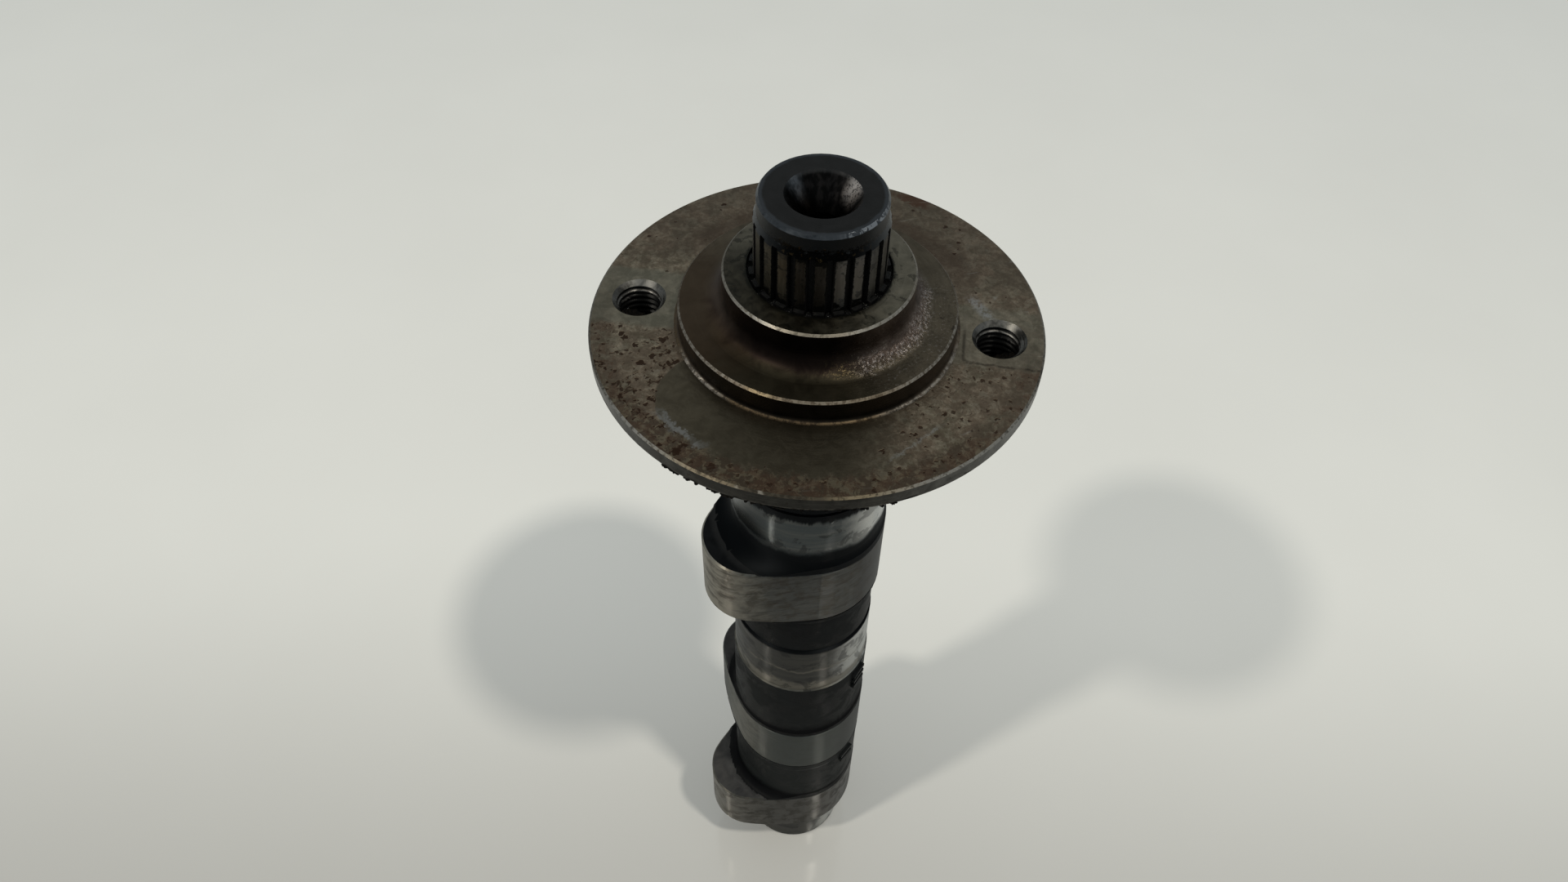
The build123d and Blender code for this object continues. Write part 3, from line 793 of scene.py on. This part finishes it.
rim_bright = [(-131.0, 15.0, 0.95, 0.1), (-110.0, 9.0, 0.6, 0.7), (-100.7, 0.9, 0.7, 0.2)]
rim_bright += [(-95.5, 0.8, 0.8, 0.2), (-70.0, 10.0, 0.75, 0.8), (-42.0, 22.0, 0.85, 0.1)]
rim_bright += [(0.0, 22.0, 0.30, 0.3), (178.0, 34.0, 0.22, 0.3)]
pilot_bright = [(-140.0, 26.0, 0.55, 0.1), (-104.0, 7.0, 0.75, 0.9), (-82.0, 17.0, 0.42, 0.3)]
pilot_bright += [(-55.0, 12.0, 0.35, 0.5), (-25.0, 26.0, 0.62, 0.1), (25.0, 24.0, 0.30, 0.4)]
pilot_bright += [(150.0, 34.0, 0.14, 0.3)]
hub_bright = [(-152.0, 18.0, 0.45, 0.1), (-124.0, 16.0, 0.95, 0.1), (-88.0, 24.0, 0.50, 0.35)]
hub_bright += [(-42.0, 24.0, 0.80, 0.1), (5.0, 26.0, 0.35, 0.3)]
rim_edge = worn_and_lit_edge("rim_edge", rim_bright, (0.030, 0.026, 0.020), 0.46)
pilot_edge = worn_and_lit_edge("pilot_edge", pilot_bright, (0.060, 0.046, 0.032), 0.50)
hub_edge = worn_and_lit_edge("hub_edge", hub_bright, (0.075, 0.066, 0.052), 0.46)

# %% [markdown]
# The narrow rim wall is turned like the face but was never clamped: it is grey-brown, with dirt
# caught along its lower edge. It could share the face's finish, but that one's masks lie flat, and
# on an upright wall they would run down it as stripes.

# %% Finish: rim wall
f = rim_wall = Finish("rim_wall")
lines = f.use(lathe_lines, 5.0, 4.0)
cloud = f.use(smears, 3.0, 1.6, 17.0)
f.colour = f.mix(cloud, (0.048, 0.047, 0.042), (0.110, 0.108, 0.100))
# The front of the wall is painted dark, as a painted dark reflection.
front_dark_reflection = f.mix(cloud, (0.006, 0.0055, 0.0045), (0.018, 0.017, 0.014))
f.paint(f.use(sector, -92.0, 30.0, 16.0, 8.0) * 0.80, front_dark_reflection)
shaded = f.mix(cloud, (0.020, 0.019, 0.016), (0.048, 0.045, 0.039))
f.paint(f.use(sector, -146.0, 28.0, 12.0, 8.0) * 0.65, shaded)
f.paint(f.ramp(lines, 0.5, 0.7) * 0.20, (0.12, 0.115, 0.10))
f.paint(f.use(band, f.height, RIM_BACK + 0.25, RIM_BACK + 0.50, 0.12) * 0.30, (0.17, 0.16, 0.14))
darkened = f.fade(f.height - cloud * 0.6, RIM_BACK - 0.1, RIM_BACK + 0.25)
f.paint(darkened * 0.9, (0.007, 0.006, 0.005))
f.paint(f.use(freckles, 0.55, 0.30, 3.0, 0.0) * 0.7, (0.020, 0.015, 0.010))
f.grind(0.4)
f.done(f.blend(darkened, 0.40, 0.6), cloud * 1.5 + lines, 0.010)

# %% [markdown]
# ## Pilot, step, cove and hub
#
# The sprocket is centred on the pilot, whose wall is brown and dull, and painted nearly black in
# front, as a painted dark reflection. The fillet at its foot is a broken painted highlight, partly
# rubbed metal: pale on the left and the right, golden brown in front. Fillet and wall are one
# finish, because the radius alone tells them apart.

# %% Finish: pilot wall
f = pilot_wall = Finish("pilot_wall")
cloud = f.use(smears, 2.0, 1.2, 27.0)
lines = f.use(lathe_lines, 3.0, 3.0)
f.colour = f.mix(cloud, (0.036, 0.026, 0.018), (0.075, 0.055, 0.038))
# The front of the wall is painted nearly black, as a painted dark reflection.
f.paint(f.use(sector, -86.0, 50.0, 22.0, 8.0) * 0.9, (0.007, 0.006, 0.005))
root = f.ramp(f.radius, PILOT_RADIUS + 0.10, PILOT_RADIUS + 0.40)
broken = f.ramp(f.noise(f.point, 1.3, 4.0, 0.65), 0.42, 0.56, 0.25, 1.0)
lit_and_rubbed = f.most(f.use(sector, -136.0, 14.0, 6.0), f.use(sector, -30.0, 24.0, 10.0))
pale = f.mix(lit_and_rubbed, (0.075, 0.055, 0.033), (0.230, 0.210, 0.185))
# The fillet line is a painted highlight, broken like worn metal.
f.paint(root * broken * f.blend(lit_and_rubbed, 0.7, 0.9), pale)
f.paint(f.ramp(lines, 0.6, 0.8) * 0.15, (0.10, 0.085, 0.06))
f.done(f.blend(cloud, 0.38, 0.55), broken * root + lines, 0.02)

# %% [markdown]
# Above the pilot a flat step runs into the cove round the neck. Oil has baked brown in the cove;
# its front is painted black, as painted shade. Step and cove have a colour each, and the radius
# leads from one to the other.

# %% Neck cove: the step and the cove
f = neck_cove = Finish("neck_cove")
COVE_OUTER = 16.2
cloud = f.use(smears, 3.2, 1.1, 33.0)
lines = f.use(lathe_lines, 2.6, 2.0)
shadowed = f.use(sector, -98.0, 46.0, 26.0, 12.0)
right = f.use(sector, -22.0, 46.0, 16.0, 10.0)
# The level step: tan on the right, painted dark olive in front and brown on the left, as painted shade.
f.colour = f.mix(cloud, (0.058, 0.047, 0.032), (0.092, 0.076, 0.054))
f.paint(f.ramp(lines, 0.5, 0.75) * 0.25, (0.120, 0.102, 0.076))
f.paint(shadowed * 0.80, (0.020, 0.017, 0.010))
f.paint(f.use(sector, -165.0, 42.0, 18.0, 12.0) * 0.62, (0.034, 0.019, 0.010))
step = f.colour
# The cove: baked oil, painted black in front as painted shade, mauve on the right where the grit has
# rubbed it.
f.colour = f.mix(cloud, (0.030, 0.018, 0.011), (0.068, 0.047, 0.034))
f.paint(right * 0.70, f.mix(cloud, (0.085, 0.062, 0.050), (0.150, 0.118, 0.100)))
f.paint(shadowed * 0.92, (0.004, 0.003, 0.003))
f.paint(f.ramp(cloud * 0.8 + f.radius, COVE_OUTER - 1.7, COVE_OUTER + 0.1), step)
print("cove out to", COVE_OUTER, "mm")

# %% [markdown]
# On the right the cove is rough and glitters, where hard grit has been pressed into the varnish.
# The grit is too fine for geometry. It is one noise used three times: its peaks are bright crumbs,
# its troughs dark hollows, and all of it drives the bump.

# %% Neck cove: the grit
grit = f.noise(f.point, 2.4, 4.0, 0.78)
spread = f.use(sector, -24.0, 48.0, 12.0, 10.0)
foot_ring = f.use(band, cloud + f.radius, COVE_OUTER - 1.7, COVE_OUTER, 0.6)
crumbs = f.ramp(grit, 0.50, 0.60) * spread * foot_ring
crumbs = f.most(crumbs, f.ramp(grit, 0.58, 0.66, 0.0, 0.40) * right)
gold = f.use(sector, -76.0, 14.0, 8.0, 6.0)
f.paint(crumbs * 0.80, f.mix(gold, (0.300, 0.265, 0.250), (0.150, 0.112, 0.055)))
f.paint(f.fade(grit, 0.36, 0.46) * right * 0.55, (0.030, 0.022, 0.016))
f.paint(f.use(freckles, 1.0, right * 0.30, 40.0) * 0.7, (0.018, 0.014, 0.010))
pitted = grit * (spread * foot_ring * 3.0 + right * 0.8)
f.done(f.blend(crumbs, f.blend(cloud, 0.36, 0.50), 0.30), lines * 0.2 + pitted, 0.06)

# %% [markdown]
# The top of the hub is a narrow turned ring, grey with an olive cast. Dried oil smudges it and
# darkens its inner edge, next to the grease, and its left and front are painted darker, as
# painted shade. It stays metallic, so that the turned lines still catch the light between the
# smudges.

# %% Finish: hub top
f = hub_top = Finish("hub_top")
cloud = f.use(smears, 1.9, 1.3, 51.0)
lines = f.use(lathe_lines, 3.5, 1.5)
smudge = f.ramp(f.use(smears, 1.5, 1.6, 55.0), 0.66, 0.88)
f.colour = f.mix(cloud, (0.092, 0.082, 0.061), (0.146, 0.132, 0.102))
f.paint(f.ramp(lines, 0.5, 0.75) * 0.25, (0.17, 0.155, 0.125))
left_front_shade = f.mix(cloud, (0.007, 0.006, 0.004), (0.028, 0.025, 0.017))
# Painted shade on the left and in front.
f.paint(f.use(sector, -126.0, 66.0, 28.0, 10.0) * 0.86, left_front_shade)
inner = f.fade(f.radius - cloud * 0.8, RECESS_RADIUS - 0.34, RECESS_RADIUS + 0.16)
f.paint(f.most(smudge * 0.55, inner), (0.012, 0.012, 0.009))
f.done(f.blend(cloud, 0.36, 0.50), smudge * 0.5 + lines, 0.015)

# %% [markdown]
# The back of the flange and its boss are hidden in the engine and always wet with oil: turned
# steel under an even black-brown film. Nothing there tells one side from the other, so no sector
# is needed.

# %% Finish: oily back
f = oily_back = Finish("oily_back")
cloud = f.use(smears, 6.0, 1.3, 61.0)
lines = f.use(lathe_lines, 2.2, 1.5)
f.colour = f.mix(cloud, (0.016, 0.014, 0.012), (0.060, 0.056, 0.048))
f.paint(f.ramp(lines, 0.5, 0.8) * 0.4, (0.10, 0.095, 0.08))
f.done(f.blend(cloud, 0.26, 0.5), lines, 0.03)

# %% [markdown]
# The threads are bright only on the first two or three crests, where a screw has rubbed them and
# light still falls. Deeper down, and in all the roots, they are painted black: oil, and painted
# shade inside the hole. The mouth of each hole is a countersink. The distance from the hole's own
# axis tells crest from root, and only what is bright is metallic, because a black metal would
# still mirror the room.

# %% Finish: thread steel
f = thread_steel = Finish("thread_steel", specular=0.05)
MOUTH_DEPTH = 0.8
off_x = f.size(f.across) - BOLT_RADIUS
from_axis = f.math("SQRT", off_x * off_x + f.behind * f.behind)
tone = f.use(smears, 1.3, 1.4, 71.0)
crest = f.fade(from_axis, THREAD_MINOR + 0.06, THREAD_MINOR + 0.30)
# Crests are bright only near the mouth; deeper they are painted black, as painted shade.
crest = crest * f.ramp(tone * 1.2 + f.height, FLANGE_FACE - 1.9, FLANGE_FACE - MOUTH_DEPTH)
mouth = f.ramp(f.height, FLANGE_FACE - MOUTH_DEPTH, FLANGE_FACE - MOUTH_DEPTH + 0.1)
lit_and_rubbed = f.mix(tone, (0.035, 0.033, 0.030), (0.130, 0.126, 0.120))
f.colour = f.mix(crest, (0.0015, 0.0015, 0.0015), lit_and_rubbed)
f.paint(mouth, f.mix(tone, (0.055, 0.053, 0.048), (0.120, 0.117, 0.110)))
f.set(f.shader["Metallic"], f.most(mouth, crest))
f.done(f.blend(tone, 0.28, 0.42), f.noise(f.point, 6.0, 3.0), 0.008)

# %% [markdown]
# Two loose materials are left. The grease round the spline is wet and black, and glints. A smooth
# surface with a deep bump gives those glints, where a rough one would turn grey.

# %% Finish: black grease
f = black_grease = Finish("black_grease", metallic=0.0, specular=0.10)
lumps = f.noise(f.point, 2.6, 4.0, 0.7)
f.colour = f.mix(f.ramp(lumps, 0.6, 0.8), (0.002, 0.002, 0.002), (0.012, 0.010, 0.008))
f.done(f.blend(f.ramp(lumps, 0.32, 0.50), 0.10, 0.16), lumps, 0.30)

# %% [markdown]
# The grime under the rim is the same dirt, but dry: dust has made it dull, so it is rough all
# over and doesn't glint. The dark plugs in the bolt holes use it too.

# %% Finish: dry grime
f = dry_grime = Finish("dry_grime", metallic=0.0, specular=0.08)
lumps = f.noise(f.point, 2.4, 5.0, 0.7)
f.colour = f.mix(f.ramp(lumps, 0.4, 0.7), (0.002, 0.002, 0.002), (0.010, 0.008, 0.006))
f.done(f.blend(lumps, 0.6, 0.9), lumps, 0.2)

# %% [markdown]
# ## Giving each surface its finish
#
# The two solids keep their own meshes. What changes is which material each of their faces uses,
# and that follows from where the face lies: its radius, its height and which way it looks. Faces
# could be picked by hand in Edit Mode, but a rule still holds when the mesh is made anew. The rules
# are a list that is read from the top, and the first one that holds decides.

# %% Helpers: surfaces of a solid
def face_facts(obj):
    """Radius and height of every face centre in millimetres, how far it looks up, its X and Y."""
    polygons = obj.data.polygons
    centre = np.empty(len(polygons) * 3)
    normal = np.empty(len(polygons) * 3)
    polygons.foreach_get("center", centre)
    polygons.foreach_get("normal", normal)
    centre = centre.reshape(-1, 3) / MM
    return np.hypot(centre[:, 0], centre[:, 1]), centre[:, 2], normal.reshape(-1, 3)[:, 2], centre[:, :2]


def dress(obj, rules, otherwise):
    """Gives every face the finish of the first rule that holds for it."""
    finishes = [otherwise]
    for _, finish in rules:
        if finish not in finishes:
            finishes.append(finish)
    index = np.select([held for held, _ in rules], [finishes.index(finish) for _, finish in rules], 0)
    obj.data.materials.clear()
    for finish in finishes:
        obj.data.materials.append(finish.material)
    obj.data.polygons.foreach_set("material_index", index.astype(np.int32))
    print(obj.name, {finish.material.name: int((index == i).sum()) for i, finish in enumerate(finishes)})


print("dressing helpers ready")

# %% [markdown]
# On the shaft the height says nearly everything. The rest needs a second question: the lobes reach
# further out than the barrel, their cheeks look up or down, the teeth reach further out than the
# grooves, and the lathe centres lie near the axis. What no rule claims is cast barrel.

# %% Surfaces of the shaft
SLACK = 0.01
LOBE_FOOT_RADIUS = 11.2
TAIL_CENTRE_DEPTH, TAIL_CENTRE_RADIUS = 12.0, 3.7
r, z, up, _ = face_facts(shaft)
on_lobe = np.zeros(len(r), bool)
for bottom in LOBES.values():
    on_lobe |= (z > bottom - 0.05) & (z < bottom + LOBE_WIDTH + 0.05) & (r > LOBE_FOOT_RADIUS)
on_journal = (z < TAIL_JOURNAL_TOP + SLACK) & (r < LOBE_FOOT_RADIUS)
for low, high in (MIDDLE_JOURNAL, FRONT_JOURNAL, SEAL_LAND):
    on_journal |= (z > low - 0.35) & (z < high + 0.75)
in_nose_centre = (z > RIM_BACK) & (r < CENTRE_RADIUS + 0.2)
in_tail_centre = (z < TAIL_CENTRE_DEPTH) & (r < TAIL_CENTRE_RADIUS) & (abs(up) < 0.95)
dress(
    shaft,
    [
        (in_nose_centre | in_tail_centre, centre_drilling),
        ((z > NOSE_TOP - NOSE_CHAMFER - SLACK) & (up < 0.999), nose_edge),
        (z > SPLINE_CREST_TOP - 0.05, nose_steel),
        ((z > SPLINE_SEAT_TOP + SLACK) & (r > CREST_RADIUS - 0.12), spline_tooth),
        (z > SEAL_LAND[1] + SLACK, packed_groove),
        (on_lobe & (abs(up) > 0.9), lobe_cheek),
        (on_lobe, lobe_track),
        (on_journal, ground_journal),
    ],
    cast_barrel,
)

# %% [markdown]
# On the flange the rules go from the holes and the recess down through the hub, the pilot and the
# face to the rim. Each edge is the narrow ring of faces, as wide as its broken corner, that look
# partly up. What is left is the back.

# %% Surfaces of the flange
r, z, up, plan = face_facts(flange)
from_hole = np.hypot(abs(plan[:, 0]) - BOLT_RADIUS, plan[:, 1])
edge = EDGE_BREAK + SLACK
dress(
    flange,
    [
        ((from_hole < THREAD_MOUTH + 0.05) & (abs(up) < 0.99), thread_steel),
        (r < RECESS_RADIUS + SLACK, packed_groove),
        ((z > HUB_TOP - SLACK) & (up > 0.9), hub_top),
        ((z > HUB_TOP - edge) & (up > 0.3), hub_edge),
        ((z > PILOT_TOP - edge) & (r > PILOT_RADIUS - edge), pilot_edge),
        (z > PILOT_TOP - SLACK, neck_cove),
        ((z > FLANGE_FACE - SLACK) & (up > 0.999), flange_face),
        ((z > FLANGE_FACE + 0.001) & (r < PILOT_RADIUS + 0.7), pilot_wall),
        ((r > FLANGE_RADIUS - edge) & (up > 0.3), rim_edge),
        (r > FLANGE_RADIUS - edge, rim_wall),
    ],
    oily_back,
)

# %% [markdown]
# ## Meshes for the small things
#
# Threads, grease and grime aren't in the solids. Each is a mesh made from a grid of points: rows
# along one direction and rings of points along the other. The helpers turn such a grid into a
# smooth object that belongs to the part.

# %% Helpers: a piece from a grid of points
def add_piece(name, points, faces, finish):
    """A smooth mesh piece from points in millimetres, which rides on the part."""
    mesh = bpy.data.meshes.new(name)
    mesh.from_pydata([tuple(v * MM for v in p) for p in points], [], faces)
    mesh.shade_smooth()
    mesh.materials.append(finish.material)
    piece = bpy.data.objects.new(name, mesh)
    bpy.context.scene.collection.objects.link(piece)
    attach(piece, "root")
    print(name, "faces", len(mesh.polygons))


def grid_faces(rows, columns):
    """The quads of a grid whose last column joins its first, as rings of points do."""
    faces = []
    for row in range(rows - 1):
        for column in range(columns):
            a, b = row * columns + column, row * columns + (column + 1) % columns
            faces.append((a, a + columns, b + columns, b))
    return faces


def turned_point(radius, angle, height, centre_x=0.0):
    """A point from its radius and angle round an upright axis."""
    return (centre_x + radius * math.cos(angle), radius * math.sin(angle), height)


def cone_back(x, y):
    """Height of the sloping back of the flange over a place."""
    return FLANGE_BACK + max(0.0, math.hypot(x, y) - BACK_CONE_START)


HOLES = {"left": -BOLT_RADIUS, "right": BOLT_RADIUS}
print("mesh helpers ready")

# %% [markdown]
# ## The two threads
#
# A thread could be swept as a triangle along a helix, but then its ends need trimming at both faces
# of the plate. It is easier to ask, for every point of the hole's wall, how far the nearest turn
# lets the wall come in. The wall is a grid in angle and height. It ends on the sloping back of the
# flange, so every column of the grid starts at its own height.

# %% Threads
THREAD_STEPS, THREAD_ROWS = 72, 118
THREAD_SKIN = 0.02
RIDGE_PEAK, RIDGE_SLOPE = 1.16, 2.6


def thread_radius(angle, height, bottom):
    """Radius of an M7 x 1 wall: 60 degree ridges with a flat crest, countersunk at both ends."""
    turn = (height / THREAD_PITCH - angle / (2 * math.pi)) % 1.0
    ridge = min(1.0, max(0.0, RIDGE_PEAK - RIDGE_SLOPE * abs(turn - 0.5)))
    wall = THREAD_MAJOR - THREAD_SKIN - ridge * (THREAD_MAJOR - THREAD_MINOR)
    mouth = THREAD_MOUTH - THREAD_SKIN - (FLANGE_FACE - height)
    far_end = THREAD_MAJOR - THREAD_SKIN - (height - bottom)
    return max(wall, mouth, far_end)


for label, hole_x in HOLES.items():
    points = []
    for row in range(THREAD_ROWS):
        for step in range(THREAD_STEPS):
            angle = 2 * math.pi * step / THREAD_STEPS
            bottom = cone_back(*turned_point(THREAD_MAJOR, angle, 0.0, hole_x)[:2]) + THREAD_SKIN
            height = bottom + (FLANGE_FACE - 0.005 - bottom) * row / (THREAD_ROWS - 1)
            radius = thread_radius(angle, height, bottom)
            points.append(turned_point(radius, angle, height, hole_x))
    faces = grid_faces(THREAD_ROWS, THREAD_STEPS)
    add_piece(f"thread_{label}", points, faces, thread_steel)

# %% [markdown]
# ## Grease in the recess
#
# Black grease fills the narrow ring between the spline and the hub and has been squeezed up
# into the grooves. A fluid simulation would settle flat. It is a ring again, whose section is a low
# mound. In line with a groove the mound reaches further in and climbs; over a tooth it stays low.
# Seeded waves make it lumpy.

# %% Grease ring
GREASE_STEPS, GREASE_ROWS, GREASE_LEVEL = 528, 9, 0.62
waves = np.random.default_rng(5)
ripple = [(k, waves.uniform(0.3, 1.0), waves.uniform(0, 2 * math.pi)) for k in (5, 9, 14, 23, 37, 61)]


def lump(angle, shift):
    """A seeded unevenness between about -1 and 1."""
    return sum(height * math.sin(k * angle + phase + shift * k) for k, height, phase in ripple) / 2.4


points = []
for row in range(GREASE_ROWS):
    outward = row / (GREASE_ROWS - 1)
    for step in range(GREASE_STEPS):
        angle = 2 * math.pi * step / GREASE_STEPS
        tooth = (angle - math.radians(SPLINE_PHASE)) * SPLINE_TEETH
        in_groove = max(0.0, math.cos(tooth) * 1.6 - 0.5)
        inside = CREST_RADIUS + 0.03 - 0.55 * in_groove
        radius = inside + (RECESS_RADIUS - 0.02 - inside) * outward
        crown = 0.14 + 0.12 * lump(angle, 0.0) + 0.20 * in_groove * (1.0 - outward)
        height = HUB_TOP - GREASE_LEVEL + crown * math.sin(math.pi * min(1.0, 0.35 + outward * 0.75))
        points.append(turned_point(radius, angle, height + 0.10 * lump(angle, 0.9) * outward))
add_piece("spline_grease", points, grid_faces(GREASE_ROWS, GREASE_STEPS), black_grease)

# %% [markdown]
# ## Grime under the rim
#
# Clods of dried oil and dust hang below the edge of the flange at the front and the front left.
# Sculpting them by hand would work once. Here each clod is a small sphere of its own that is pushed
# out of shape by seeded noise, and one mesh holds them all. Each entry of the list is a stretch of
# the rim: its two angles, how many clods it has, and how large they are.

# %% Grime clods
RIM_CLODS = [(-121.0, -100.0, 26, 0.55), (-100.0, -64.0, 28, 0.42)]
CLOD_ROWS, CLOD_COLUMNS, CLOD_SQUASH = 7, 10, 0.8
CLOD_RADIUS, CLOD_LIMIT = 31.80, FLANGE_RADIUS - 0.02
seeded = np.random.default_rng(11)


def add_clod(points, faces, centre, reach):
    """Adds one lumpy sphere, kept inside the flange's outline, to the points and faces."""
    wobble = seeded.uniform(0.55, 1.15, (CLOD_ROWS, CLOD_COLUMNS))
    start = len(points)
    for row in range(CLOD_ROWS):
        tilt = math.pi * row / (CLOD_ROWS - 1)
        for column in range(CLOD_COLUMNS):
            turn = 2 * math.pi * column / CLOD_COLUMNS
            knob = reach * (float(wobble[row][column]) if 0 < row < CLOD_ROWS - 1 else 0.8)
            away = Vector(turned_point(math.sin(tilt), turn, CLOD_SQUASH * math.cos(tilt)))
            spot = centre + away * knob
            inside = spot * min(1.0, CLOD_LIMIT / math.hypot(spot.x, spot.y))
            points.append((inside.x, inside.y, spot.z))
    faces += [tuple(i + start for i in face) for face in grid_faces(CLOD_ROWS, CLOD_COLUMNS)]


places = []
for low, high, count, clod_size in RIM_CLODS:
    for _ in range(count):
        angle = math.radians(seeded.uniform(low, high))
        reach = clod_size * seeded.uniform(0.5, 1.0)
        radius = CLOD_RADIUS - reach * seeded.uniform(0.35, 0.80)
        places.append((Vector(turned_point(radius, angle, RIM_BACK - reach * 0.45)), reach))
points, faces = [], []
for centre, reach in places:
    add_clod(points, faces, centre, reach)
add_piece("rim_grime", points, faces, dry_grime)

# %% [markdown]
# ## Dark plugs in the holes
#
# A dark lumpy plug sits at the bottom of both holes, as painted shade, so no light comes through
# them. A flat black disc would do from straight above, but its edge would show from the side.
# The plug follows the sloping back of the flange, which the holes break through.

# %% Hole plugs
PLUG_ROWS, PLUG_STEPS, PLUG_RADIUS, PLUG_LEVEL = 14, 48, THREAD_MINOR + 0.25, 0.55
for label, hole_x in HOLES.items():
    points = []
    for row in range(PLUG_ROWS):
        reach = PLUG_RADIUS * (row + 0.1) / (PLUG_ROWS - 0.9)
        for step in range(PLUG_STEPS):
            angle = 2 * math.pi * step / PLUG_STEPS
            x, y, _ = turned_point(reach, angle, 0.0, hole_x)
            uneven = 0.25 * lump(angle, 0.1 * row) * row / PLUG_ROWS + seeded.uniform(0.0, 0.12)
            points.append((x, y, cone_back(x, y) + PLUG_LEVEL + uneven))
    add_piece(f"hole_plug_{label}", points, grid_faces(PLUG_ROWS, PLUG_STEPS), dry_grime)

# %% [markdown]
# ## The floor
#
# A plain pale sheet. It is a little glossy, as painted board is: the shaft stands on its own faint
# reflection, and the lamps' reflections in it draw thin upright lines on the polished journals.
# It is painted darker toward the front, as painted shade; a lamp with a narrow beam could do the
# same, but a lamp would change the part too.

# %% Floor
TABLE_HALF = 6.0
corners = [(-1, -1), (1, -1), (1, 1), (-1, 1)]
mesh = bpy.data.meshes.new("table_top")
mesh.from_pydata([(x * TABLE_HALF, y * TABLE_HALF, 0.0) for x, y in corners], [], [(0, 1, 2, 3)])
table_top = bpy.data.objects.new("table_top", mesh)
bpy.context.scene.collection.objects.link(table_top)

f = table_paint = Finish("table_paint", metallic=0.0)
cloud = f.noise(f.point, 0.012, 3.0)
f.colour = f.mix(cloud, (0.640, 0.637, 0.616), (0.692, 0.689, 0.668))
# Painted shade toward the front.
f.paint(f.fade(f.behind - f.across * 0.08, -74.0, 84.0), (0.385, 0.378, 0.365))
f.done(f.blend(cloud, 0.07, 0.13))
mesh.materials.append(table_paint.material)
print("table top", [round(v, 2) for v in table_top.dimensions])

# %% [markdown]
# ## Light
#
# Two small round lamps in front of the part, one high on the right and one lower on the left, give
# the two shadows. Spot lamps would have a border on the floor, so these are area lamps. They are
# slightly warm. The room adds an even, cooler light that is a little stronger than either lamp's,
# so the shadows turn a little blue. Each lamp's entry is its turn, its rise and its power.

# %% Lamps and room
LAMP_TARGET = Vector((0.0, 0.0, 0.15))
LAMPS = {"right_lamp": (-33.8, 65.0, 7.8), "left_lamp": (-140.9, 52.0, 6.3)}
LAMP_DISTANCE, LAMP_SIZE, LAMP_COLOUR = 1.3, 0.09, (1.0, 0.945, 0.83)
ROOM_COLOUR, ROOM_STRENGTH = (0.90, 0.98, 1.0, 1.0), 0.51
for name, (turn, rise, power) in LAMPS.items():
    lamp = bpy.data.lights.new(name, "AREA")
    lamp.shape = "DISK"
    lamp.size = LAMP_SIZE
    lamp.energy = power
    lamp.color = LAMP_COLOUR
    rise = math.radians(rise)
    toward = Vector(turned_point(math.cos(rise), math.radians(turn), math.sin(rise)))
    aim = toward.to_track_quat("Z", "Y").to_matrix().to_4x4()
    stand = bpy.data.objects.new(name, lamp)
    stand.matrix_world = Matrix.Translation(LAMP_TARGET + toward * LAMP_DISTANCE) @ aim
    bpy.context.scene.collection.objects.link(stand)
    print(name, [round(v, 2) for v in stand.location])

room = bpy.data.worlds.new("room")
room.use_nodes = True
room.node_tree.nodes["Background"].inputs["Color"].default_value = ROOM_COLOUR
room.node_tree.nodes["Background"].inputs["Strength"].default_value = ROOM_STRENGTH
bpy.context.scene.world = room
bpy.context.scene.view_settings.view_transform = "Standard"
print("room light", ROOM_STRENGTH)
